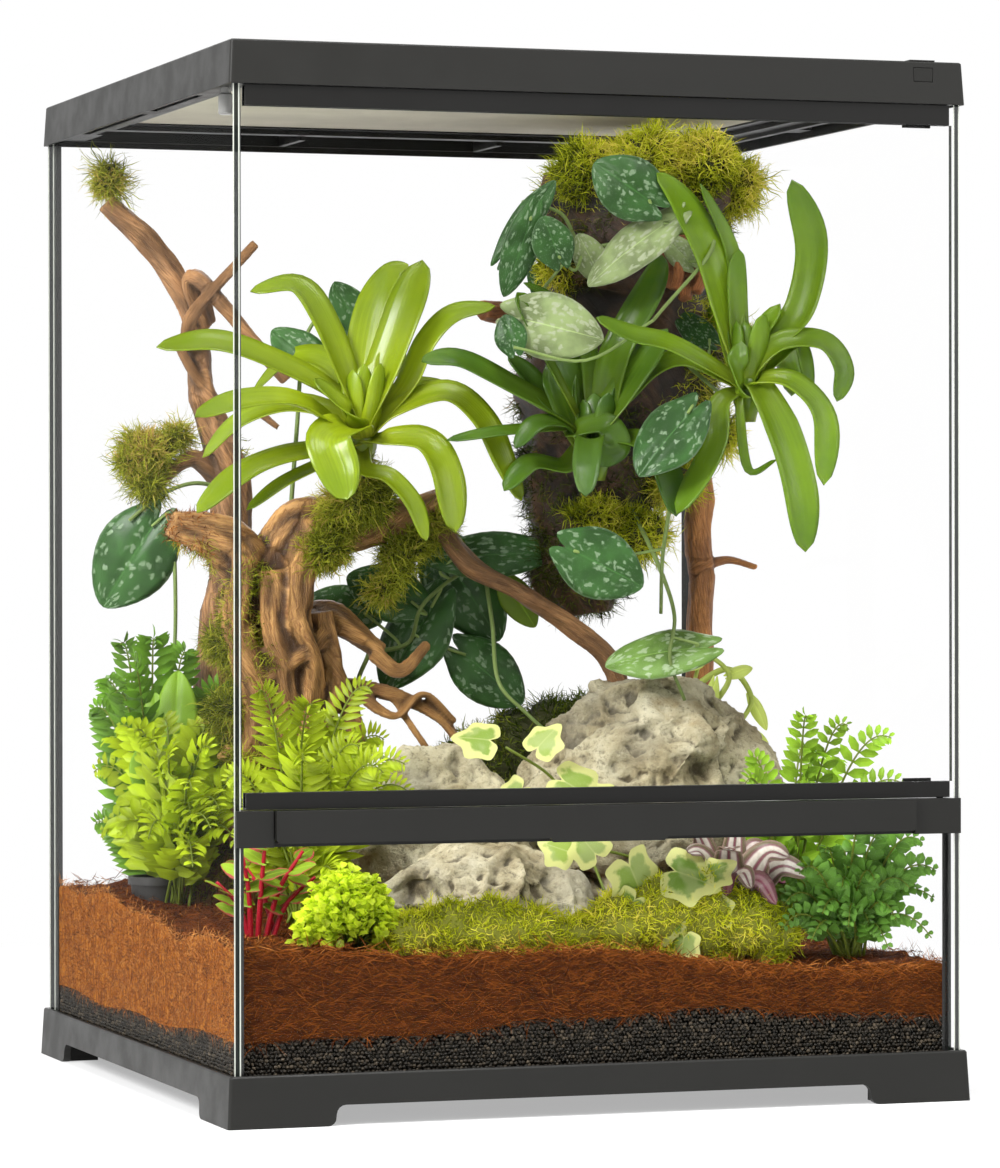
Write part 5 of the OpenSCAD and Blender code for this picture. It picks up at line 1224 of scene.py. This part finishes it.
RIGHT = [
    (24, [(138, -82, 454), (125, -75, 507), (108, -70, 543), (91, -68, 563)]),
    (9, [(140, -80, 460), (140, -72, 512), (119, -70, 557)]),
    (12, [(141, -80, 457), (140, -78, 496), (142, -78, 516)]),
    (19, [(152, -86, 447), (166, -90, 463), (179, -92, 482), (185, -92, 520), (172, -90, 559)]),
    (12, [(146, -86, 444), (146, -88, 456), (165, -88, 482)]),
    (14, [(148, -95, 445), (162, -100, 458), (187, -105, 458), (199, -108, 441), (194, -110, 421)]),
    (9, [(159, -95, 446), (174, -98, 456), (181, -100, 427)]),
    (15, [(148, -100, 435), (166, -110, 432), (183, -116, 410), (181, -120, 369)]),
    (20, [(146, -98, 431), (157, -112, 401), (165, -120, 365), (168, -122, 328)]),
    (15, [(130, -92, 425), (121, -95, 416), (113, -105, 390), (87, -112, 351)]),
    (15, [(129, -85, 438), (94, -85, 456), (68, -85, 462), (45, -84, 472)]),
    (12, [(136, -98, 425), (131, -100, 441), (136, -98, 458)]),
    (5, [(135, -95, 422), (139, -100, 379), (156, -104, 385)]),
    (16, [(150, -74, 440), (172, -54, 458), (192, -30, 452), (206, -6, 428)]),
    (15, [(142, -72, 444), (146, -48, 474), (152, -20, 480), (160, 6, 462)]),
    (15, [(134, -76, 436), (112, -62, 448), (92, -50, 440), (74, -44, 418)]),
]


def rosette(name, node, heart_at, leaves, mat, slot, inner, seed):
    """Arching strap leaves round a heart, where short upright ones fill the cup."""
    rng = np.random.default_rng(seed)
    heap = Heap()
    centre = np.array(heart_at, float)
    for width, pts in leaves:
        pts = np.array(pts, float)
        # Each leaf starts in the heart, below where it is first seen
        begin = centre + (pts[0] - centre) * 0.25 + [0, 0, -6]
        pts = np.vstack([begin, pts])
        p = curve(pts, 7)
        d = unit(np.gradient(p, axis=0))
        out = p - centre
        out[:, 2] = 0
        out = unit(out + d * [1, 1, 0] * 20)
        flat = np.hypot(d[:, 0], d[:, 1])[:, None]
        facing = flat * [0, 0, 1.0] - d[:, 2:3] * out
        facing = facing * 0.55 + VIEW * 0.75 + rng.normal(0, 0.08, 3)
        strap(heap, pts, width * 1.16, facing, rng.random(), channel=rng.uniform(0.26, 0.4), base=0.62, sharp=0.3)
    for k in range(inner):
        ang = k * SPREAD + seed
        lean = 5 + 11 * (k % 4) / 3
        top = centre + [lean * math.cos(ang), lean * math.sin(ang), 24 + 16 * ((k * 7) % 5) / 4]
        low = centre + [5 * math.cos(ang), 5 * math.sin(ang), -8]
        mid = (low + top) / 2 + [2.2 * math.cos(ang), 2.2 * math.sin(ang), 0]
        out = np.array([-math.cos(ang), -math.sin(ang), 0.25])
        strap(heap, [low, mid, top], rng.uniform(12, 17), out, rng.random() * 0.3, channel=0.5, base=0.8, sharp=0.42)
    # A short trunk of old leaf bases
    tube(heap, [centre + [0, 0, -26], centre + [0, 0, -12], centre + [0, 0, 0]], [5, 9, 10], 10, 0.6, 0.2, seed)
    heap.clip()
    obj = heap.make(name, mat, [node], slot=slot)
    thick(obj, 0.9)


def thick(obj, mm):
    mod = obj.modifiers.new("body", "SOLIDIFY")
    mod.thickness = mm * MM
    mod.offset = 0


def rosettes():
    rosette("left_bromeliad", "left_rosette", (-82, -8, 405), LEFT,
            strap_mat("strap_lime", (0.6, 0.62, 0.05), (0.4, 0.5, 0.012), (0.27, 0.4, 0.012)), "leaf_lime", 13, 1)
    rosette("middle_bromeliad", "middle_rosette", (60, -40, 399), MIDDLE,
            strap_mat("strap_deep", (0.34, 0.44, 0.03), (0.16, 0.29, 0.014), (0.08, 0.19, 0.018)), "leaf_green", 9, 4)
    rosette("right_bromeliad", "right_rosette", (145, -84, 435), RIGHT,
            strap_mat("strap_green", (0.46, 0.54, 0.04), (0.27, 0.42, 0.016), (0.16, 0.31, 0.016)), "leaf_green", 11,
            7)


# ---------------------------------------------------------------- vines

# Each leaf: x, y, z of its middle, its rib's angle as seen from the front, length, width share, kind
ROOT_LEAVES = [
    (-67, 66, 481, 122, 40, 0.7, 0), (-103, 56, 456, 135, 44, 0.72, 0), (-191, 142, 324, -123, 68, 0.78, 0),
    (-148, 66, 205, 70, 34, 0.7, 0)
]
GROUND_LEAVES = [
    (-44, 66, 304, 156, 50, 0.72, 0), (-29, 60, 272, -123, 68, 0.68, 0), (11, 64, 304, -55, 74, 0.66, 0),
    (21, 50, 250, -39, 54, 0.74, 0), (22, 36, 327, 2, 72, 0.42, 0), (40, 46, 296, -55, 36, 0.6, 2),
    (-70, 84, 292, 170, 46, 0.7, 0)
]
COLUMN_LEAVES = [
    (73, -62, 556, 141, 48, 0.82, 0), (31, -44, 522, 109, 31, 0.88, 0), (13, -34, 515, -108, 56, 0.4, 0),
    (21, -24, 536, 57, 58, 0.34, 0), (64, -20, 514, 117, 30, 0.7, 1), (77, -60, 517, -145, 68, 0.46, 1),
    (26, -62, 467, -18, 58, 0.72, 1), (0, -52, 463, 105, 24, 0.85, 0), (116, -40, 517, 131, 26, 0.7, 1),
    (81, -112, 398, -127, 55, 0.74, 0), (47, -90, 320, -27, 53, 0.82, 0), (95, -58, 266, -172, 64, 0.56, 3),
    (131, -30, 469, 144, 30, 0.7, 0), (148, 56, 488, 30, 40, 0.8, 0), (84, 96, 500, 150, 44, 0.8, 0),
    (120, 100, 430, -60, 46, 0.8, 0)
]
ROOT_STEMS = [[(-124, 146, 369), (-150, 138, 373), (-172, 140, 365), (-192, 142, 349)],
              [(-112, 50, 341), (-104, 60, 405), (-96, 70, 461), (-80, 76, 483), (-70, 76, 491)],
              [(-166, 138, 355), (-164, 134, 320), (-165, 130, 272), (-172, 120, 240)]]
GROUND_STEMS = [[(-60, 45, 265), (-30, 60, 271), (-24, 44, 297), (20, 60, 321), (60, 40, 317)],
                [(20, 60, 321), (14, 24, 283), (10, 0, 247), (26, -8, 227), (44, -10, 211)],
                [(-60, 48, 265), (-66, 56, 240), (-62, 40, 205), (-40, 20, 196), (-14, 8, 206)]]
COLUMN_STEMS = [[(112, 0, 581), (122, -30, 551), (92, -30, 527), (64, -10, 521), (50, -6, 541), (24, -8, 548)],
                [(110, 0, 531), (128, -70, 521), (84, -80, 471)], [(120, 0, 461), (130, -90, 421)],
                [(100, 10, 361), (98, -50, 321), (106, -58, 289), (100, -66, 262), (112, -60, 236)],
                [(98, -100, 421), (96, -90, 380), (92, -76, 330), (94, -66, 290)]]


def vine(name, node, leaves, stems, mats, seed):
    rng = np.random.default_rng(seed)
    stalks = Heap()
    lines = []
    for line in stems:
        p = curve(line, 8)
        lines.append(p)
        tube(stalks, p, np.linspace(1.5, 1.1, len(p)), 8, 0.5)
    lines = np.vstack(lines)
    heaps = [Heap() for _ in mats]
    for *middle, angle, length, share, kind in leaves:
        d = unit(seen_at(angle) + rng.normal(0, 0.1) * VIEW)
        stalk = np.array(middle, float) - d * length * 0.47
        tip = np.array(middle, float) + d * length * 0.53
        facing = unit(VIEW * [1, 1, 0.6] + rng.normal(0, 0.16, 3))
        if kind == 3:
            facing = unit([-0.2, -0.75, 0.62])
        heart(heaps[kind], stalk, tip, facing, length * share, rng.random(), 0.1 + 0.05 * rng.random())
        near = lines[((lines - stalk) ** 2).sum(1).argmin()]
        bow = (near + stalk) / 2 + np.array([0, 0, -0.12]) * np.linalg.norm(near - stalk) - d * 5
        line = curve([near, bow, stalk + d * length * 0.1], 6)
        tube(stalks, line, np.full(len(line), 1.0), 7, 0.8)
    objs = []
    for k, heap in enumerate(heaps):
        if heap.v:
            heap.clip()
            obj = heap.make(name + "_leaves_" + "abcd"[k], mats[k], [node] if not objs else [], slot="leaf_vine")
            thick(obj, 0.7)
            objs.append(obj)
    stalks.make(name + "_stems", veined_mat("vine_stem_" + name, (0.24, 0.33, 0.1)),
                slot="leaf_vine")


def vines():
    dark = spotted_mat("vine_leaf_dark", (0.034, 0.092, 0.022), (0.2, 0.29, 0.17), 0.46)
    pale = spotted_mat("vine_leaf_pale", (0.3, 0.38, 0.16), (0.5, 0.55, 0.36), 0.6, 0.4, 0.3)
    lime = veined_mat("vine_leaf_lime", (0.25, 0.4, 0.03))
    silver = spotted_mat("vine_leaf_mid", (0.13, 0.23, 0.05), (0.36, 0.46, 0.27), 0.5)
    mats = [dark, pale, lime, silver]
    vine("root_creeper", "root_vine", ROOT_LEAVES, ROOT_STEMS, mats, 3)
    vine("ground_creeper", "ground_vine", GROUND_LEAVES, GROUND_STEMS, mats, 5)
    vine("column_creeper", "column_vine", COLUMN_LEAVES, COLUMN_STEMS, mats, 8)
    heap = Heap()
    for pts, r in (([(140, 22, 211), (150, 30, 237), (172, 20, 253), (186, 14, 235), (176, 10, 217)], 2.6),
                   ([(140, 22, 205), (158, 6, 232), (166, 2, 250), (150, 4, 262), (144, 8, 244)], 2.2),
                   ([(146, 20, 215), (168, 4, 226), (178, 6, 208), (192, 8, 200)], 2.0)):
        p = curve(pts, 8)
        tube(heap, p, np.linspace(r, r * 0.55, len(p)), 9, 0.6)
    for stalk, tip in (((166, 2, 250), (184, 4, 256)), ((186, 14, 235), (196, 10, 214)),
                       ((158, 6, 232), (142, 0, 220)),
                       ((176, 10, 217), (194, 2, 206)), ((150, 4, 262), (138, 2, 254)),
                       ((156, 2, 246), (150, -2, 222))):
        heart(heap, stalk, tip, VIEW, 9, 0.8, 0.3)
    heap.make("curled_shoot", veined_mat("shoot_green", (0.46, 0.55, 0.12)), ["shoot_vine"],
              slot="leaf_lime")


# ---------------------------------------------------------------- ferns

def frond(heap, stems, rng, root, tip, rise, width, pairs, share, tint, facing, blunt):
    """An arching frond with pairs of leaflets; share is a leaflet's width over its length."""
    root, tip = np.array(root, float), np.array(tip, float)
    over = root * 0.45 + tip * 0.55
    over[2] = max(root[2], tip[2]) + rise
    t = np.linspace(0, 1, 30)[:, None]
    line = root * (1 - t) ** 2 + over * 2 * t * (1 - t) + tip * t * t
    tube(stems, line, np.linspace(1.1, 0.35, 30), 5, 0.5)
    d = unit(np.gradient(line, axis=0))
    face = unit(np.array(facing, float) + rng.normal(0, 0.28, 3))
    for i in range(pairs):
        s = 0.16 + 0.84 * (i + 0.5) / pairs
        k = min(int(s * 29), 28)
        at = line[k] + (line[k + 1] - line[k]) * (s * 29 - k)
        axis = d[k]
        side = unit(np.cross(axis, face))
        up = np.cross(side, axis)
        size = width / 2 * (1.08 - s) ** 0.62 * min(1.0, 0.45 + s * 2.2)
        for sign in (-1, 1):
            out = unit(side * sign + axis * (0.42 + 0.2 * s) + up * rng.normal(-0.05, 0.14))
            shade = np.clip(tint + rng.normal(0, 0.14), 0, 1)
            blades(heap, at[None], out[None], up[None], size, size * share, [shade], 0.25, blunt)


def fern(name, nodes, root, width, pairs, share, mat, slot, seed, fillers, reach, face, blunt):
    rng = np.random.default_rng(seed)
    heap, stems = Heap(), Heap()
    root = np.array(root, float)
    for *tip, rise in FERN_TIPS[name]:
        frond(heap, stems, rng, root + rng.normal(0, 3, 3) * [1, 1, 0.3], tip, rise, width * rng.uniform(0.85, 1.15),
              pairs, share, rng.uniform(0.35, 1.0), face, blunt)
    for k in range(fillers):
        a = k * SPREAD + seed
        r = rng.uniform(0.45, 1.0)
        tip = root + [reach[0] * r * math.cos(a), reach[1] * r * math.sin(a),
                      reach[2] * rng.uniform(0.35, 1.0) * (1.2 - r * 0.5)]
        frond(heap, stems, rng, root + rng.normal(0, 4, 3) * [1, 1, 0.3], tip, rng.uniform(6, 22), width * 0.9,
              pairs, share, rng.uniform(0.1, 0.8), face, blunt)
    for h in (heap, stems):
        h.clip()
    heap.make(name, mat, nodes, slot=slot)
    stems.make(name + "_ribs", veined_mat("rib_" + name, (0.2, 0.26, 0.03)), slot=slot)


# Where the fronds of each fern end: x, y, z, and how far the frond rises over its ends
FERN_TIPS = {
    "corner_lace_fern": [
        (-212, 60, 262, 10), (-206, 110, 270, 16), (-188, 96, 272, 18), (-160, 120, 264, 12), (-140, 90, 240, 16),
        (-208, 150, 244, 20), (-170, 170, 238, 20), (-140, 150, 208, 20), (-216, 140, 228, 14), (-150, 110, 228, 20),
        (-216, 84, 240, 16)
    ],
    "corner_lime_fern": [
        (-216, 140, 188, 24), (-216, 112, 208, 18), (-214, 84, 218, 16), (-212, 52, 216, 18), (-210, 22, 210, 20),
        (-206, -8, 200, 24), (-200, -40, 184, 26), (-194, -62, 162, 30), (-216, 120, 150, 36), (-216, 64, 150, 36),
        (-214, 10, 152, 36), (-202, -50, 138, 40), (-172, 18, 206, 18), (-162, 56, 214, 16), (-184, 84, 222, 12),
        (-152, 4, 182, 24), (-180, -30, 172, 28), (-166, -20, 150, 34), (-196, 40, 190, 20), (-190, 0, 168, 26)
    ],
    "door_lace_fern": [
        (-172, -90, 245, 10), (-99, -80, 246, 14), (-137, -84, 236, 12), (-118, -70, 226, 18), (-84, -60, 214, 20),
        (-100, -110, 196, 26), (-150, -110, 204, 24), (-72, -74, 182, 26), (-120, -40, 214, 20),
        (-184, -60, 190, 24), (-90, -20, 190, 24), (-160, -70, 222, 14), (-110, -96, 210, 20), (-130, -100, 190, 24),
        (-80, -90, 200, 20)
    ],
    "right_fern_fronds": [
        (117, -150, 188, 20), (153, -160, 228, 12), (184, -150, 222, 14), (213, -150, 214, 16), (218, -158, 186, 20),
        (136, -110, 200, 16), (176, -100, 206, 16), (205, -90, 196, 18), (124, -130, 166, 24), (166, -150, 204, 14)
    ],
    "low_fern_fronds": [
        (122, -200, 118, 22), (220, -200, 118, 24), (186, -208, 90, 34), (216, -190, 152, 20), (190, -196, 158, 14),
        (150, -196, 148, 16), (160, -208, 104, 34), (214, -208, 96, 34), (136, -208, 96, 28), (204, -180, 146, 18),
        (172, -200, 164, 12), (130, -204, 136, 20), (200, -208, 126, 24), (176, -210, 132, 22), (156, -208, 128, 22),
        (218, -206, 136, 18), (144, -206, 112, 26), (190, -210, 108, 28), (118, -206, 104, 22)
    ],
}


def ferns():
    lace = veined_mat("fern_lace", (0.13, 0.28, 0.02), through=0.3, foot_shade=0.5)
    lime = veined_mat("fern_lime", (0.44, 0.56, 0.02), through=0.4, foot_shade=0.6)
    leafy_lime = veined_mat("fern_leafy", (0.4, 0.52, 0.014), through=0.4, foot_shade=0.6)
    fresh = veined_mat("fern_fresh", (0.27, 0.47, 0.03), through=0.38, foot_shade=0.5)
    cool = veined_mat("fern_cool", (0.15, 0.33, 0.045), through=0.3, foot_shade=0.5)
    fern("corner_lace_fern", ["corner_fern"], (-180, 126, 104),
         52, 17, 0.36, lace, "leaf_green", 2, 7, (36, 90, 110), [-0.25, -0.8, 0.5], 0.4)
    fern("corner_lime_fern", [], (-182, 62, 104),
         50, 11, 0.46, leafy_lime, "leaf_lime", 12, 10, (34, 90, 100), [-0.5, -0.7, 0.5], 0.8)
    fern("door_lace_fern", ["door_fern"], (-140, -68, 104),
         50, 19, 0.28, lime, "leaf_lime", 5, 8, (56, 40, 90), [-0.2, -0.85, 0.45], 0.35)
    fern("right_fern_fronds", ["right_fern"], (158, -126, 86),
         38, 13, 0.44, fresh, "leaf_green", 8, 4, (48, 50, 90), [-0.25, -0.85, 0.4], 0.8)
    fern("low_fern_fronds", ["low_fern"], (170, -182, 84),
         30, 9, 0.66, cool, "leaf_green", 11, 22, (50, 22, 66), [-0.25, -0.85, 0.4], 1.0)


# ---------------------------------------------------------------- small plants

# Ivy leaves: x, y, z of the stalk, angle as seen from the front, and size
IVY_LEAVES = [
    (-26, -108, 214, 165, 30), (-6, -110, 206, 40, 26), (6, -112, 194, -30, 38), (-10, -112, 188, -130, 22),
    (26, -112, 172, 30, 24), (8, -194, 146, 130, 26), (22, -196, 150, -60, 36), (46, -196, 142, -20, 38),
    (66, -194, 132, 20, 30), (50, -200, 118, -100, 24), (30, -200, 126, -130, 22), (-6, -188, 150, 170, 24),
    (74, -196, 122, -60, 22), (58, -202, 104, -90, 22)
]
# Striped leaves: x, y, z of the tip, and width
STRIPED_TIPS = [
    (62, -196, 150, 20), (70, -170, 164, 18), (88, -198, 152, 22), (104, -176, 168, 18), (142, -190, 134, 22),
    (126, -198, 146, 24), (100, -202, 128, 16), (128, -160, 148, 18), (84, -140, 146, 18), (116, -202, 118, 15),
    (84, -202, 124, 14), (140, -160, 128, 18)
]


def lobed(heap, stalk, tip, facing, width, tint):
    """An ivy leaf with five shallow lobes."""
    stalk, length, d, a, m = leaf_frame(stalk, tip, facing)
    ang = np.linspace(-np.pi, np.pi, 48, endpoint=False)
    r = 0.36 - 0.2 * np.exp(-((np.abs(ang) - np.pi) / 0.24) ** 2)
    for at, reach, wide in ((0, 0.24, 0.4), (1.1, 0.16, 0.34), (2.1, 0.12, 0.36)):
        r = r + reach * np.exp(-(np.abs(np.abs(ang) - at) / wide) ** 1.6)
    rows = [np.column_stack([0.4 + r * np.cos(ang) * k / 5, r * np.sin(ang) * k / 5]) for k in range(1, 6)]
    flat = np.vstack([[[0.4, 0]]] + rows)
    z = (-0.3 * width * flat[:, 1] ** 2 - 0.18 * length * (flat[:, 0] - 0.4) ** 2
         + 0.07 * width * np.sin(flat[:, 0] * 8 + tint * 9) * flat[:, 1])
    verts = stalk + np.outer(flat[:, 0] * length, d) + np.outer(flat[:, 1] * width, a) + np.outer(z, m)
    faces = [(0, 1 + (k + 1) % 48, 1 + k) for k in range(48)]
    faces += [tuple(i + 1 for i in f) for f in grid_faces(5, 48, True)]
    edge = np.concatenate([[0], np.repeat(np.arange(1, 6) / 5, 48)])
    heap.add(verts, [f[::-1] for f in faces], np.column_stack([flat[:, 1], edge, np.full(len(flat), tint)]))


def bushy(rng):
    """Little round leaves in whorls over a dome."""
    heap, stems = Heap(), Heap()
    for k in range(110):
        a, r = k * SPREAD, 30 * math.sqrt(k / 110)
        top = np.array([-140 + r * math.cos(a), -170 + 0.85 * r * math.sin(a),
                        138 - 0.032 * r * r + rng.normal(0, 2.5)])
        foot = np.array([-140, -168, 98]) + (top - [-140, -168, 128]) * [0.4, 0.4, 0]
        line = curve([foot, (foot + top) / 2 + [0, 0, 3], top], 4)
        tube(stems, line, np.full(len(line), 0.6), 5, 0.4)
        for level in range(3):
            n = 6
            ang = rng.uniform(0, 6.28, n)
            d = np.column_stack([np.cos(ang), np.sin(ang), rng.normal(0.5, 0.45, n)])
            blades(heap, np.tile(top - [0, 0, level * 4.0], (n, 1)) + rng.normal(0, 1.2, (n, 3)), d,
                   rng.normal(0, 0.5, (n, 3)) + [-0.2, -0.6, 0.8], rng.uniform(4, 7.5, n), rng.uniform(3.6, 5.6, n),
                   np.clip(0.95 - 0.28 * level + rng.normal(0, 0.12, n), 0, 1), 0.3, 1.0)
    heap.make("bushy_leaves", veined_mat("bushy_leaf", (0.6, 0.84, 0.035), through=0.4, foot_shade=0.3),
              ["bushy_plant"],
              slot="leaf_lime")
    stems.make("bushy_stems", veined_mat("bushy_stem", (0.2, 0.3, 0.04)), slot="leaf_lime")


def red_stems(rng):
    """Red stems with small veined leaves."""
    heap, stems = Heap(), Heap()
    for k, (x, y, z) in enumerate([(-194, -134, 148), (-182, -140, 160), (-158, -136, 152), (-148, -128, 136),
                                   (-186, -104, 144), (-208, -126, 134)]):
        foot = np.array([-178 + 4.0 * (k % 5) - 8, -122, 96.0])
        top = np.array([x, y, z], float)
        line = curve([foot, (foot + top) / 2 + [(foot[0] - x) * 0.15, 0, 4], top], 6)
        tube(stems, line, np.linspace(1.9, 1.0, len(line)), 8, 0.5)
        for j in range(4):
            at = line[min(len(line) - 1, 5 + 2 * j)]
            a = rng.uniform(0, 6.28)
            d = np.array([math.cos(a), math.sin(a) - 0.3, 0.35])
            heart(heap, at, at + unit(d) * rng.uniform(13, 20), unit([-0.2, -0.6, 0.7]), rng.uniform(8, 12),
                  rng.random(), 0.12,
                  8, 7)
    heap.make("red_stem_leaves", veined_mat("red_vein_leaf", (0.26, 0.4, 0.025), (0.4, 0.07, 0.05), 0.02),
              ["red_stem_plant"],
              slot="leaf_red")
    stems.make("red_stems", veined_mat("red_stem", (0.55, 0.02, 0.04)), slot="leaf_red")


def ivy(rng):
    """Variegated ivy that climbs from the ground towards the peak rock."""
    heap, stems = Heap(), Heap()
    runs = [[(46, -158, 92), (52, -176, 122), (44, -186, 140), (20, -186, 150), (-4, -182, 152)],
            [(46, -158, 92), (60, -176, 120), (66, -188, 136), (78, -188, 124)],
            [(40, -150, 92), (34, -120, 130), (22, -108, 168), (8, -104, 192), (-20, -102, 210)],
            [(46, -158, 92), (50, -190, 114), (56, -200, 100)]]
    for run in runs:
        p = curve(run, 6)
        tube(stems, p, np.full(len(p), 0.9), 6, 0.5)
    for *at, ang, size in IVY_LEAVES:
        d = unit(seen_at(ang) + rng.normal(0, 0.16, 3))
        at = np.array(at, float)
        lobed(heap, at - d * 2, at + d * size, unit(VIEW + rng.normal(0, 0.28, 3)), size * 1.1, rng.random())
    heap.clip()
    heap.make("ivy_leaves", ivy_mat(), ["ivy_plant"], slot="leaf_lime")
    stems.make("ivy_stems", veined_mat("ivy_stem", (0.2, 0.26, 0.04)), slot="leaf_lime")


def striped():
    """Striped leaves round a low heart."""
    heap = Heap()
    for k, (x, y, z, w) in enumerate(STRIPED_TIPS):
        foot = np.array([99, -166, 100 + 1.5 * k])
        top = np.array([x, y, z], float)
        mid = foot * 0.42 + top * 0.58 + [0, 0, 16]
        strap(heap, [foot, mid, top], w, [-0.25, -0.7, 0.6], k / 12, channel=0.2, base=0.3, sharp=0.66, steps=9,
              cols=9)
    obj = heap.make("striped_leaves", striped_leaf(), ["striped_plant"], slot="leaf_purple")
    thick(obj, 0.6)


def spade_leaves():
    """Four spade leaves of a young plant, and their stalks, in the pot."""
    heap = Heap()
    for stalk, tip, w in (((-176, 88, 206), (-172, 98, 254), 27), ((-184, 92, 196), (-186, 104, 240), 24),
                          ((-196, 80, 176), (-206, 60, 206), 20), ((-180, 78, 170), (-160, 60, 200), 20)):
        heart(heap, stalk, tip, unit([-0.4, -0.85, 0.2]), w, 0.8, 0.08)
        line = curve([(-190, 76, 100), (-188, 80, 140), stalk], 6)
        tube(heap, line, np.linspace(1.6, 1.1, len(line)), 7, 0.4)
    obj = heap.make("pot_leaves", veined_mat("spade_leaf", (0.22, 0.38, 0.03)), slot="leaf_lime")
    thick(obj, 0.6)


def small_plants():
    rng = np.random.default_rng(31)
    bushy(rng)
    red_stems(rng)
    ivy(rng)
    striped()
    spade_leaves()


look()
studio()
enclosure()
wire_screen()
ground()
rocks()
woods()
mosses()
rosettes()
vines()
ferns()
small_plants()
